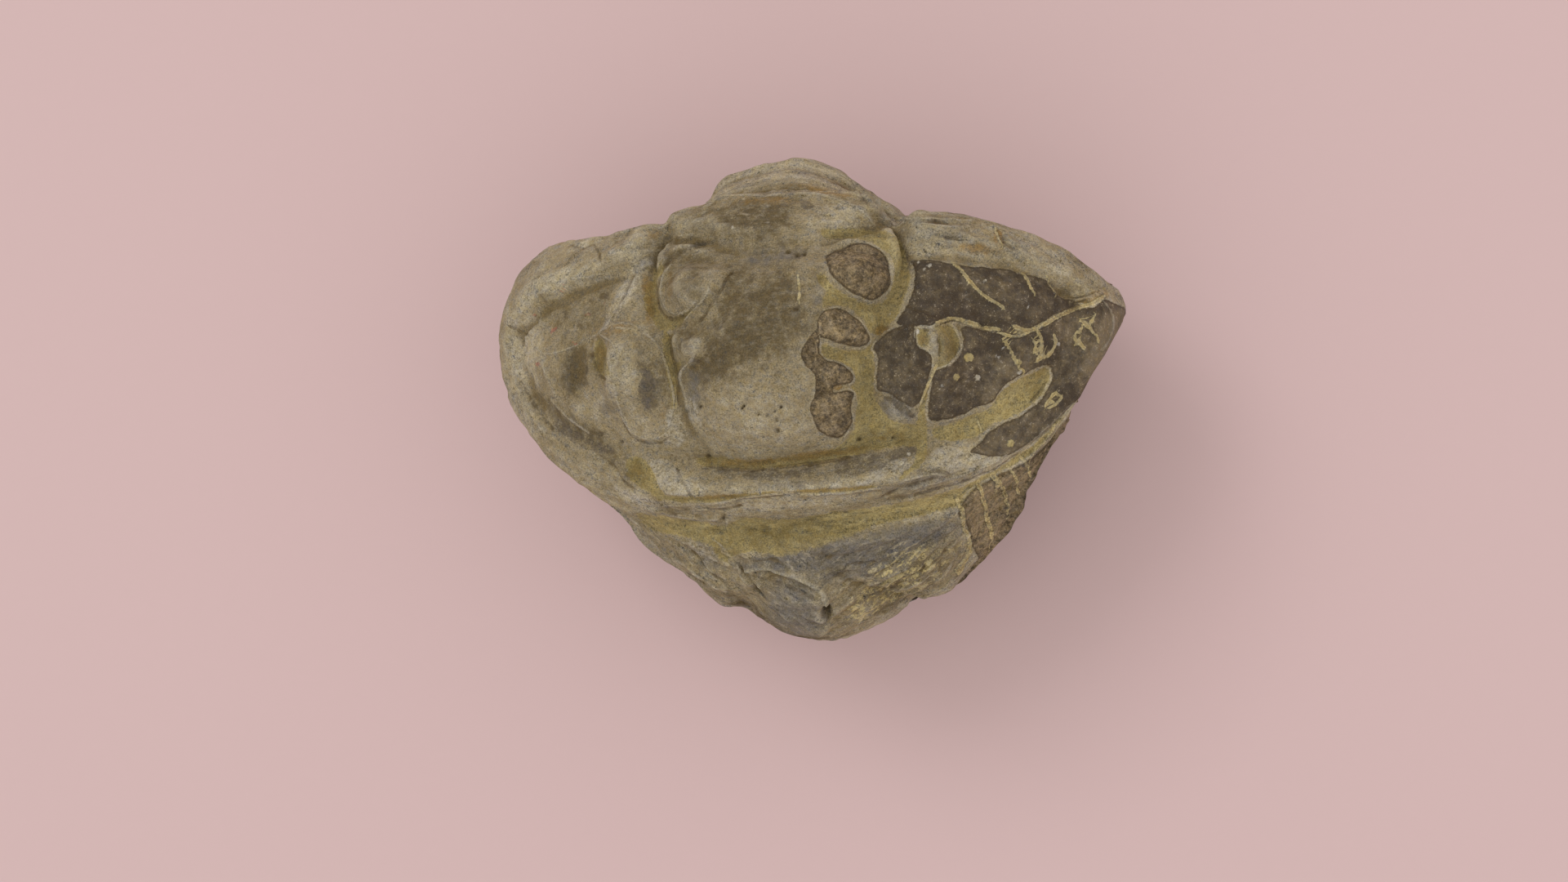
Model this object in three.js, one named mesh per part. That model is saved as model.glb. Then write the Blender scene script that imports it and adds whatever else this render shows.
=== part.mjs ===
import * as THREE from "three";

// An enrolled trilobite of the calymenid kind, turned to stone: the head shield is uppermost,
// the thirteen rings of the thorax roll round the back, and the tail shield comes up under the
// front of the head, with hardened mud in the gap between the two. It is one solid stone.
//
// Head axes, in millimetres: across (right of the head), rear (towards the neck) and out (away
// from the middle of the animal through the top of the head). Every point of the surface lies on
// one straight ray from the heart, a point inside the animal, so two angles name it: the turn
// about the across axis, from the face (0) over the neck (90), the back (180) and the tail (270),
// and the lean towards a side (-90 to 90). Each ray's length is a smooth shell, either the dome of
// the head or a section of the rolled body, plus the relief that stands on it.
//
// Part frame: +X is across, +Y is rear and +Z is out, so the stone lies with its face up, as it
// does on a table, on a patch worn flat on the back of its thorax. The origin is under its middle.

// Heart and head dome (an ellipsoid with a longer front half), mm; the head ends where the dome
// falls below its rim
const HEART = { rear: -2.5, out: -1 };
const DOME = { rear: 2, out: -2, halfWidth: 19.4, rearReach: 12.5, frontReach: 15, height: 13, rim: -1.8 };

// Where the heart is in the part frame, mm; everything below z = 0 is worn away
const HEART_AT = { x: 0, y: -1.45, z: 10.75 };

// Reach of the rolled body to its poles, mm, and how far the poles, where all turns meet, are set
// towards the neck and the face, so that they lie under the edges of the cheeks
const POLE = { reach: 16.0, rear: 0.03, out: 0.11 };

// Rolled body, section by section: turn in degrees, reach of the side lobes, rise of the middle
// lobe over them, half-width of the middle lobe, mm, and squareness of the section
const SECTIONS = [
  [40, 13.0, 1.6, 6.2, 2.4],
  [62, 13.3, 2.1, 6.4, 2.6],
  [80, 13.0, 3.1, 6.5, 2.7],
  [100, 12.7, 3.1, 6.4, 2.7],
  [120, 12.0, 2.9, 6.2, 2.7],
  [140, 10.8, 2.6, 6.1, 2.7],
  [160, 9.7, 2.3, 5.9, 2.6],
  [180, 9.0, 2.1, 5.7, 2.4],
  [200, 9.1, 2.0, 5.6, 2.2],
  [220, 9.8, 1.9, 5.6, 2.0],
  [240, 10.7, 1.8, 5.7, 1.8],
  [260, 11.3, 1.6, 5.7, 1.7],
  [274, 11.6, 1.6, 5.5, 1.65],
  [285, 11.8, 1.5, 4.9, 1.65],
  [295, 11.9, 1.1, 3.9, 1.7],
  [303, 11.9, 0.7, 2.6, 1.75],
  [310, 11.7, 0.2, 1.9, 1.75],
  [318, 11.3, 0, 1.6, 1.75],
  [326, 10.5, 0, 1.6, 1.75],
  [342, 10.2, 0, 1.6, 1.8],
  [400, 13.0, 1.6, 6.2, 2.4],
].map(([turn, side, rise, half, power]) => ({ turn, side, rise, half, power }));

// Broad swellings: turn, lean and their spreads in degrees, and rise in mm. The first list stands
// on the rolled body alone, the second on the head too.
const BODY_SWELLINGS = [
  [112, 62, 55, 17, 1.9],
  [112, -62, 55, 17, 1.9],
  [90, 18, 25, 11, -1.1],
  [85, -17, 20, 6, 0.6],
  [288, 37, 26, 13, 0.7],
  [268, 33, 22, 8, 0.6],
  [238, 71, 36, 10, -1.5],
  [292, -58, 26, 16, -1.0],
  [262, -69, 22, 8, -1.0],
  [272, -30, 22, 9, 0.7],
  [295, 62, 22, 12, -0.8],
  [200, 25, 22, 16, -0.25],
  [165, -35, 25, 18, 0.2],
];
const CRUST_SWELLINGS = [
  [64, -56, 16, 14, 0.9],
  [80, -62, 20, 14, 0.75],
  [62, -26, 7, 4, 0.4],
  [20, -38, 14, 9, 0.2],
];

// Thorax and tail: turns where each begins and ends along the crest, and how far their ribs
// sweep towards the tail by a lean of 70 degrees, at the neck and at the tail
const THORAX = { start: 62, end: 274, rings: 13 };
const TAIL = { end: 316, rings: 7, axisEnd: 305 };
const SWEEP = { neck: 9, tail: 9, lean: 70 };

// Outline of the head shield seen along the out axis: right side from the neck to the front,
// then the left side from the front back to the neck, whose rear corner is thick with crust
const OUTLINE = [
  [0, 11.5], [5.5, 11.0], [7.8, 10.1], [11.8, 9.3], [14.9, 8.1], [16.8, 6.9], [18.2, 5.5],
  [19.2, 4.1], [19.3, 2.5], [18.7, 1.0], [17.6, -0.9], [15.8, -3.6], [13.2, -6.0], [10.4, -7.4],
  [6, -8.3], [0, -8.5],
  [-6, -8.3], [-10.4, -7.2], [-13.4, -5.5], [-16.2, -3.1], [-18.4, -0.7], [-19.7, 2.4],
  [-19.1, 5.8], [-17.6, 8.3], [-14.6, 9.2], [-11.8, 9.5], [-8.2, 10.3], [-5.5, 11.1],
];

// Furrows and ridges of one half of the head, drawn in the same view from the middle outwards
const GLABELLA = [
  [0, 8.1], [3.5, 8.5], [6.2, 8.2], [7.2, 6.9], [7.0, 5.4], [6.0, 4.0], [5.9, 2.4],
  [5.2, 1.2], [5.1, -0.4], [4.9, -1.8], [4.2, -2.9], [2.4, -3.8], [0, -4.1],
];
const AXIAL_FURROW = [
  [4.9, -3.6], [5.6, -2.4], [5.9, -1.0], [6.8, 3.2], [7.8, 6.0], [7.5, 8.4], [7.2, 10.2],
];
const NECK_FURROW = [[0, 7.9], [3, 8.3], [5.5, 9.1], [7.2, 9.3]];
const REAR_FURROW = [[7.6, 8.4], [8.8, 7.4], [11.8, 6.7], [14.8, 5.6], [17.0, 4.2]];
const BORDER_FURROW = [
  [0, -4.8], [3, -4.8], [5.5, -4.4], [9.5, -3.4], [11.8, -2.7], [15.2, -0.9], [16.9, 1.6], [17.0, 4.2],
];
const BORDER_CREST = [
  [0, -6.5], [6, -6.3], [8.9, -6.0], [11.5, -5.8], [13.2, -5.0], [15.5, -3.1], [17.0, -1.0],
  [18.3, 1.4], [18.5, 3.4], [17.6, 5.1], [15.2, 6.9], [11.8, 8.2], [8.9, 9.0],
];

// Lobes of the glabella, three on the right and three on the left, the neck ring and the eye:
// place and half-sizes in that view, rise and depth of the moat round it, mm
const LOBES = [
  { at: [5.6, 6.45], half: [1.9, 1.7], rise: 0.45, moat: 0.22 },
  { at: [4.6, 3.05], half: [1.5, 1.2], rise: 0.3, moat: 0.2 },
  { at: [4.0, 0.55], half: [1.1, 0.95], rise: 0.2, moat: 0.1 },
  { at: [-4.6, 6.5], half: [2.05, 1.95], rise: 0.4, moat: 0.32 },
  { at: [-5.0, 2.6], half: [1.2, 1.05], rise: 0.35, moat: 0.2 },
  { at: [-4.3, 0.3], half: [1.0, 0.9], rise: 0.1, moat: 0.05 },
];
const NECK_RING = { at: [0, 10.3], half: [7.4, 2.4], rise: 0.55 };
const EYE = { at: [9.9, 1.7], half: [1.7, 2.3], rise: 1.6, moat: 0.25 };

// The net: rows over the head, within one ring of the thorax and over the tail, the least step
// between rows in degrees, and lines from side to side
const ROWS = { head: 42, ring: [0.04, 0.38, 0.88], tail: 14, leastStep: 0.8 };
const LINES = 51;

const RAD = Math.PI / 180;
const clamp = (x, low, high) => Math.min(high, Math.max(low, x));
const groove = (x) => Math.exp(-x * x);

// 0 below low, 1 above high, smooth between them.
function smooth(low, high, x) {
  const t = clamp((x - low) / (high - low), 0, 1);
  return t * t * (3 - 2 * t);
}

// The x between two ends at which a test stops being true.
function lastTrue(test, from, to) {
  let [good, bad] = [from, to];
  for (let k = 0; k < 28; k += 1) {
    const half = (good + bad) / 2;
    if (test(half)) good = half;
    else bad = half;
  }
  return good;
}

// One measure of the rolled body at a turn: a cubic through the keys, with slopes from their
// neighbours.
function section(measure, turn) {
  const t = turn < SECTIONS[0].turn ? turn + 360 : turn;
  let i = 0;
  while (i < SECTIONS.length - 2 && SECTIONS[i + 1].turn < t) i += 1;
  const [a, b] = [SECTIONS[i], SECTIONS[i + 1]];
  const before = SECTIONS[Math.max(i - 1, 0)];
  const after = SECTIONS[Math.min(i + 2, SECTIONS.length - 1)];
  const span = b.turn - a.turn;
  const slopeA = ((b[measure] - before[measure]) / (b.turn - before.turn)) * span;
  const slopeB = ((after[measure] - a[measure]) / (after.turn - a.turn)) * span;
  const s = clamp((t - a.turn) / span, 0, 1);
  return (
    (2 * s ** 3 - 3 * s ** 2 + 1) * a[measure] +
    (s ** 3 - 2 * s ** 2 + s) * slopeA +
    (3 * s ** 2 - 2 * s ** 3) * b[measure] +
    (s ** 3 - s ** 2) * slopeB
  );
}

// A smooth line through drawn points, as short straight steps.
function drawn(points, closed = false) {
  const through = points.map(([x, y]) => new THREE.Vector3(x, y, 0));
  return new THREE.CatmullRomCurve3(through, closed, "centripetal").getPoints(points.length * 6);
}

// A closed outline from its right half.
function mirrored(half) {
  const other = half.slice(1, -1).reverse().map(([x, y]) => [-x, y]);
  return [...half, ...other];
}

// Distance from a point of the view to a drawn line.
function distanceTo(steps, x, y) {
  let nearest = Infinity;
  for (let i = 0; i + 1 < steps.length; i += 1) {
    const [a, b] = [steps[i], steps[i + 1]];
    const [dx, dy] = [b.x - a.x, b.y - a.y];
    const t = clamp(((x - a.x) * dx + (y - a.y) * dy) / (dx * dx + dy * dy), 0, 1);
    nearest = Math.min(nearest, Math.hypot(x - a.x - t * dx, y - a.y - t * dy));
  }
  return nearest;
}

// Distance to a closed drawn line, positive inside it.
function insideBy(steps, x, y) {
  let crossings = 0;
  for (let i = 0; i + 1 < steps.length; i += 1) {
    const [a, b] = [steps[i], steps[i + 1]];
    if (a.y > y !== b.y > y && x < a.x + ((y - a.y) * (b.x - a.x)) / (b.y - a.y)) crossings += 1;
  }
  return (crossings % 2 ? 1 : -1) * distanceTo(steps, x, y);
}

// How far out a point of the view is on an oval: 0 at its middle, 1 at its edge.
function ovalAt({ at, half }, x, y) {
  return Math.hypot((x - at[0]) / half[0], (y - at[1]) / half[1]);
}

const outline = drawn(OUTLINE, true);
const glabella = drawn(mirrored(GLABELLA), true);
const axialFurrow = drawn(AXIAL_FURROW);
const neckFurrow = drawn(NECK_FURROW);
const rearFurrow = drawn(REAR_FURROW);
const borderFurrow = drawn(BORDER_FURROW);
const borderCrest = drawn(BORDER_CREST);

// The way a ray points, as a unit vector (across, rear, out).
function direction(turn, lean) {
  const [side, slant] = [Math.sin(lean * RAD), Math.cos(lean * RAD)];
  const rear = slant * Math.sin(turn * RAD) + POLE.rear * side * side;
  const out = slant * Math.cos(turn * RAD) + POLE.out * side * side;
  return new THREE.Vector3(side, rear, out).normalize();
}

// Ray length to the dome: the root of the ellipsoid's quadratic, with the reach of the half it hits.
function domeRay(n) {
  const from = new THREE.Vector3(0, HEART.rear - DOME.rear, HEART.out - DOME.out);
  const root = (reach) => {
    const size = new THREE.Vector3(DOME.halfWidth, reach, DOME.height);
    const way = n.clone().divide(size);
    const start = from.clone().divide(size);
    const b = way.dot(start);
    return (-b + Math.sqrt(b * b - way.lengthSq() * (start.lengthSq() - 1))) / way.lengthSq();
  };
  const r = root(DOME.rearReach);
  return HEART.rear + r * n.y >= DOME.rear ? r : root(DOME.frontReach);
}

// Ray length to the rolled body without its rings: a superellipse from the crest to the pole.
function bodyRay(turn, lean) {
  const power = section("power", turn);
  const toPole = Math.abs(Math.sin(lean * RAD)) / POLE.reach;
  const toCrest = Math.cos(lean * RAD) / section("side", turn);
  return (toPole ** power + toCrest ** power) ** (-1 / power);
}

// Height of a list of swellings, each a bell in turn and lean.
function swelling(list, turn, lean) {
  return list.reduce((sum, [atTurn, atLean, wideTurn, wideLean, rise]) => {
    const away = ((turn - atTurn + 540) % 360) - 180;
    return sum + rise * groove(away / wideTurn) * groove((lean - atLean) / wideLean);
  }, 0);
}

// Length of the crest from the neck to each degree of turn, and how many rings that is.
const crestLength = [0];
for (let turn = THORAX.start; turn < THORAX.end; turn += 1) {
  const reach = (t) => section("side", t) + section("rise", t);
  const step = Math.hypot(reach(turn + 0.5) * RAD, reach(turn + 1) - reach(turn));
  crestLength.push(crestLength.at(-1) + step);
}
const ringLength = crestLength.at(-1) / THORAX.rings;

// Rings counted from the neck: equal in length over the thorax, equal in turn over the tail.
function ringAt(turn) {
  if (turn >= THORAX.end) {
    return THORAX.rings + ((turn - THORAX.end) / (TAIL.end - THORAX.end)) * TAIL.rings;
  }
  const past = turn - THORAX.start;
  const i = clamp(Math.floor(past), 0, crestLength.length - 2);
  return (crestLength[i] + (crestLength[i + 1] - crestLength[i]) * (past - i)) / ringLength;
}

// Height across one ring of the middle lobe: low at its front, a furrow, then the ring itself,
// which ends in a step. A rib of the side lobes is the same with a deeper furrow.
function ringRelief(phase) {
  const ring = smooth(0.4, 0.6, phase) * (1 - smooth(0.92, 1, phase));
  return 0.42 * ring - 0.2 * groove((phase - 0.36) / 0.1) - 0.15;
}

function ribRelief(phase) {
  const rib = smooth(0.36, 0.6, phase) * (1 - smooth(0.92, 1, phase));
  return 0.5 * rib - 0.3 * groove((phase - 0.38) / 0.12) - 0.1;
}

// Relief of the thorax and tail on the body shell, for a turn counted back along the sweep.
function bodyRelief(turn, lean, across) {
  const half = section("half", turn);
  const x = Math.abs(across);
  const ring = ringAt(turn);
  const phase = ring - Math.floor(ring);
  const arch = section("rise", turn) * Math.max(0, 1 - (x / half) ** 2) ** 1.1;
  const furrow = 0.3 * groove((x - half * 0.92) / 0.7);
  const onAxis = 1 - smooth(half * 0.78, half * 0.95, x);
  const rings = ringRelief(phase) * onAxis * (1 - smooth(TAIL.axisEnd - 3, TAIL.axisEnd + 3, turn));
  const ribs = ribRelief(phase) * (1 - onAxis) * (1 - smooth(70, 86, Math.abs(lean)));
  const strength = 1 - 0.85 * smooth(THORAX.rings - 1, THORAX.rings + 0.3, ring);
  return arch - furrow + strength * (rings + ribs);
}

// Relief of the head on the dome, by its place in the view along the out axis.
function headRelief(across, rear) {
  const x = Math.abs(across);
  const inGlabella = insideBy(glabella, across, rear);
  const front = 1 - smooth(7, 13, x);
  let relief = 0.85 * smooth(-0.6, 1.8, inGlabella) + 0.65 * smooth(0.8, 4.8, inGlabella);
  relief -= 0.8 * groove(distanceTo(axialFurrow, x, rear) / 0.85);
  relief -= (0.25 + 0.35 * smooth(2, 5, x)) * groove(distanceTo(neckFurrow, x, rear) / 0.7);
  relief -= 0.55 * groove(distanceTo(rearFurrow, x, rear) / 0.7);
  relief -= (0.4 + 0.45 * front) * groove(distanceTo(borderFurrow, x, rear) / 0.9);
  relief += (0.35 + 0.4 * front) * groove(distanceTo(borderCrest, x, rear) / 1.1);
  relief += NECK_RING.rise * Math.max(0, 1 - ovalAt(NECK_RING, x, rear) ** 2) ** 0.8;
  for (const lobe of LOBES) {
    const q = ovalAt(lobe, across, rear);
    relief += lobe.rise * (1 - smooth(0.4, 1.1, q)) - lobe.moat * groove((q - 1.3) / 0.35);
  }
  const eye = ovalAt(EYE, x, rear);
  relief += EYE.rise * (1 - smooth(0.2, 1.4, eye));
  return relief - EYE.moat * groove((eye - 1.6) / 0.4) * smooth(0, 1, x - EYE.at[0]);
}

// Degrees that a rib has swept towards the tail where it crosses a lean.
function sweep(turn, lean) {
  const most = SWEEP.neck * (1 - smooth(80, 160, turn)) + SWEEP.tail * smooth(180, 270, turn);
  return most * (lean / SWEEP.lean) ** 2;
}

// The turn at which a lean meets the rib that leaves the crest at a given turn.
function sweptTurn(crest, lean) {
  let turn = crest;
  for (let k = 0; k < 12; k += 1) turn = crest + sweep(turn, lean);
  return turn;
}

// Depth of a ray's dome point inside the head shield, negative outside it, mm.
function coverAt(turn, lean) {
  const n = direction(turn, lean);
  const r = domeRay(n);
  return Math.min(insideBy(outline, r * n.x, HEART.rear + r * n.y), HEART.out + r * n.z - DOME.rim);
}

// Length of a ray out to the finished surface. The head's relief is read twice, the second time
// at the point that the first one gives, so that a furrow lands where it was drawn.
function ray(turn, lean) {
  const n = direction(turn, lean);
  const crust = swelling(CRUST_SWELLINGS, turn, lean);
  const covered = coverAt(turn, lean);
  const head = smooth(-0.8, 0.2, covered);
  const dome = domeRay(n) + crust;
  let onHead = dome;
  if (head > 0) {
    for (let k = 0; k < 2; k += 1) onHead = dome + headRelief(onHead * n.x, HEART.rear + onHead * n.y);
  }
  const gap = 0.4 * groove((covered + 1.3) / 0.7);
  const body = bodyRay(turn, lean) + crust + swelling(BODY_SWELLINGS, turn, lean);
  const pastTail = turn < 20 ? turn + 360 : turn;
  const onBody = body + bodyRelief(pastTail - sweep(pastTail, lean), lean, body * n.x) - gap;
  return onBody + (onHead - onBody) * head;
}

// The turns at which a lean enters and leaves the head, from where it is deepest inside.
function headEdges(lean) {
  let middle = 0;
  for (let turn = 0; turn < 100; turn += 4) {
    if (coverAt(turn, lean) > coverAt(middle, lean)) middle = turn;
  }
  const covered = (turn) => coverAt(turn, lean) > 0;
  const front = covered(middle) ? lastTrue(covered, middle, -60) : middle;
  const rear = covered(middle) ? lastTrue(covered, middle, 130) : middle;
  return { front: Math.min(front, middle - 3), rear: Math.max(rear, middle + 3) };
}

// Turns of one line's points: evenly over the head, then along the ribs of the thorax and tail,
// pressed together where the edge of the head covers them.
function turnsAlong(lean) {
  const { front, rear } = headEdges(lean);
  const turns = [];
  for (let i = 0; i < ROWS.head; i += 1) turns.push(front + ((i + 0.5) / ROWS.head) * (rear - front));
  for (let ring = 0; ring < THORAX.rings; ring += 1) {
    for (const phase of ROWS.ring) {
      const least = rear + ROWS.leastStep * (turns.length - ROWS.head + 1);
      turns.push(Math.max(least, sweptTurn(crestTurn(ring + phase), lean)));
    }
  }
  for (let i = 0; i < ROWS.tail; i += 1) {
    const most = front + 360 - ROWS.leastStep * (ROWS.tail - i);
    const crest = THORAX.end + ((i + 0.1) / ROWS.tail) * (TAIL.end - THORAX.end);
    turns.push(Math.min(most, sweptTurn(crest, lean)));
  }
  return turns;
}

// The turn at which the crest reaches a ring count.
function crestTurn(ring) {
  return lastTrue((turn) => ringAt(turn) < ring, THORAX.start, THORAX.end);
}

// A point of the surface in the part frame, worn flat where the stone rests.
function placed(turn, lean) {
  const p = direction(turn, lean).multiplyScalar(ray(turn, lean));
  return new THREE.Vector3(p.x + HEART_AT.x, p.y + HEART_AT.y, Math.max(0, p.z + HEART_AT.z));
}

// The corners of a four-sided cell as two triangles, split along the diagonal that lies nearer
// to the true surface at the cell's middle.
function split([a, b, c, d], points, truth) {
  const middle = new THREE.Vector3();
  for (const corner of [a, b, c, d]) middle.addScaledVector(points[corner], 1 / 4);
  const bulge = truth.clone().sub(middle);
  const diagonal = points[a].clone().add(points[c]).divideScalar(2).sub(middle);
  return diagonal.dot(bulge) > 0 ? [a, b, c, a, c, d] : [a, b, d, b, c, d];
}

// A closed net of rows round the body and lines from side to side, with a fan at each pole.
function trilobiteGeometry() {
  const leans = Array.from({ length: LINES }, (_, i) => {
    const s = ((i + 1) / (LINES + 1)) * 2 - 1;
    return 90 * (0.82 * s + 0.18 * s ** 7);
  });
  const turns = leans.map(turnsAlong);
  const rows = turns[0].length;
  const points = leans.flatMap((lean, line) => turns[line].map((turn) => placed(turn, lean)));
  const [leftPole, rightPole] = [points.length, points.length + 1];
  points.push(placed(180, -90), placed(180, 90));
  const at = (line, row) => line * rows + (row % rows);
  const turnAt = (line, row) => turns[line][row % rows] + (row < rows ? 0 : 360);
  const faces = [];
  for (let row = 0; row < rows; row += 1) {
    for (let line = 0; line + 1 < LINES; line += 1) {
      const cell = [[line, row], [line + 1, row], [line + 1, row + 1], [line, row + 1]];
      const turn = cell.reduce((sum, [l, r]) => sum + turnAt(l, r) / 4, 0);
      const truth = placed(turn, (leans[line] + leans[line + 1]) / 2);
      faces.push(...split(cell.map(([l, r]) => at(l, r)), points, truth));
    }
    faces.push(leftPole, at(0, row), at(0, row + 1));
    faces.push(rightPole, at(LINES - 1, row + 1), at(LINES - 1, row));
  }
  const geometry = new THREE.BufferGeometry();
  const positions = points.flatMap((p) => p.toArray());
  geometry.setAttribute("position", new THREE.Float32BufferAttribute(positions, 3));
  geometry.setIndex(faces);
  geometry.computeVertexNormals();
  return geometry;
}

const stone = new THREE.MeshStandardMaterial({ color: 0x8f8668, roughness: 0.85, metalness: 0 });
const trilobite = new THREE.Mesh(trilobiteGeometry(), stone);
trilobite.name = "trilobite";

const part = new THREE.Group();
part.add(trilobite);

export default part;
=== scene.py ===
"""An enrolled calymenid trilobite turned to stone, dressed for a plain studio view.

The stone is one closed surface of two parameters. The turn goes round the roll, from the face
over the neck and the back to the tail, and the lean goes from the left side to the right. Both
are angles of a ray from a point inside the animal, and the surface is the ray's length: a dome
for the head shield or a keyed section for the rolled body, plus the relief that stands on it.
What lies on the stone is drawn on a sheet: a plane before the face, in millimetres, on which
every point of the stone has a place. The drawn outlines become distances at the mesh's points,
and the material turns those into dark shell, ochre mud, veins, stains and bloom. It also paints
shade into hollows, pits and thin lines beside veins and edges, and highlight onto crests.
"""

import logging
import math
from dataclasses import dataclass, field
from enum import Enum
from typing import Sequence, Union

import bpy
import numpy as np
from mathutils import Matrix, Vector


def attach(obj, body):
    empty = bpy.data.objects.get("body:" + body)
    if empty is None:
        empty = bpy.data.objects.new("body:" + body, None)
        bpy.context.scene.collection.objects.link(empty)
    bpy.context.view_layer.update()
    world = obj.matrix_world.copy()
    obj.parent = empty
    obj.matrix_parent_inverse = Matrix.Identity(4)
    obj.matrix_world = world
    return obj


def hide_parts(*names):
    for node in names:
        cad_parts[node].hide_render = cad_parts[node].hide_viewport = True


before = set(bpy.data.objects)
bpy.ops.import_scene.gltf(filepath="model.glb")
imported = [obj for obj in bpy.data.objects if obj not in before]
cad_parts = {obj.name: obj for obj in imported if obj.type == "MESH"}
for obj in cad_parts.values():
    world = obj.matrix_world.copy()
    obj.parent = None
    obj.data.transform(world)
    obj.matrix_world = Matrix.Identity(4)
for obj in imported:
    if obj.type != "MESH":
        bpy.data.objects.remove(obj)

log = logging.getLogger("trilobite")

Array = np.ndarray
Points = Sequence[tuple[float, float]]
Outlines = Sequence[Points]
Lines = Sequence[tuple[float, Points]]
Paint = tuple[float, float, float, float]

MILLIMETRE = 0.001

# Everything up to the first function is drawn on the sheet, in mm right of and above its middle.

# Where the dark outer shell is left on the head: upper cheek, eye cheek, free cheek and border
SHELL = [
    [
        (7.6, 11.05), (9.5, 11), (10.3, 10.8), (13.75, 10.4), (14.45, 10.1), (15.2, 10.05), (15.95, 9.85),
        (16.2, 9.4), (16.6, 9), (17.25, 8.65), (18.05, 8.45), (16.8, 7.85), (14.15, 6.5), (11.95, 7.05),
        (10.45, 7.3), (8.1, 7), (6.9, 7.2), (7.55, 8.25), (7.85, 9), (8, 10.45), (7.8, 10.85),
    ],
    [
        (5.7, 6.05), (7.15, 7), (7.95, 6.95), (8.2, 5.8), (8.7, 5.45), (9, 5), (8.3, 2.4), (7.85, 2.05),
        (6.7, 2.8), (5.75, 3.1), (5.75, 4.5), (5.7, 5.15), (5.5, 5.65),
    ],
    [
        (9.15, 4.05), (9.5, 4.35), (10.5, 4.85), (11, 6.2), (10.85, 6.8), (11.2, 7.05), (14.15, 6.3),
        (15.6, 6.9), (16.25, 7.3), (17.6, 7.95), (19.1, 8.25), (19.6, 8.6), (20.1, 8.4), (20.8, 8.1),
        (21.5, 7), (21, 5.75), (20.1, 4.7), (19.25, 3.7), (18.25, 2.8), (15.6, 0.35), (13.8, -0.85),
        (12.8, -0.95), (12, -0.8), (11.3, -0.65), (12, -0.05), (12.45, 0.55), (13.1, 0.95), (14.65, 1.6),
        (15.8, 2.55), (16.45, 3.75), (16.45, 4.35), (16.2, 4.7), (15.1, 4.3), (13.9, 3.7), (13.1, 2.95),
        (12.8, 2.5), (12.35, 2.2), (11.65, 2), (11, 1.65), (9, 1.25), (8.85, 1.85), (9.05, 3.4),
    ],
]

# Where brown shell is left on the side lobes of the glabella and along its right edge
LOBES = [
    [
        (2.6, 11.35), (3.45, 11.8), (4.6, 12.1), (5.65, 11.85), (6.35, 11), (6.5, 9.8), (6.3, 9.25),
        (5.6, 8.65), (5.15, 8.65), (4.7, 8.85), (4.15, 9.05), (3.2, 9.8), (2.85, 10.3),
    ],
    [
        (2, 6.9), (2.3, 7.85), (3.3, 8.1), (3.8, 7.95), (4.2, 7.6), (4.6, 7.3), (5.15, 6.45), (5.15, 6.05),
        (4.8, 5.75), (4.3, 5.75), (2.75, 6.25), (2.25, 6.45),
    ],
    [
        (1, 5.3), (1.95, 6.85), (2.15, 6.35), (2.15, 5.4), (2.65, 4.9), (3.1, 4.85), (3.5, 4.7), (4.2, 4.1),
        (4.15, 3.7), (3.8, 3.5), (3.35, 3.45), (3, 3.25), (3.05, 2.95), (3.9, 3.1), (4.3, 2.9), (4.2, 2.5),
        (4.1, 2), (4.15, 1.4), (4, 0.9), (3.35, 0.2), (2.3, 0.5), (1.95, 0.9), (1.8, 1.4), (1.6, 1.9),
        (1.9, 2.9), (1.85, 4), (1.3, 4.7),
    ],
]

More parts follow.
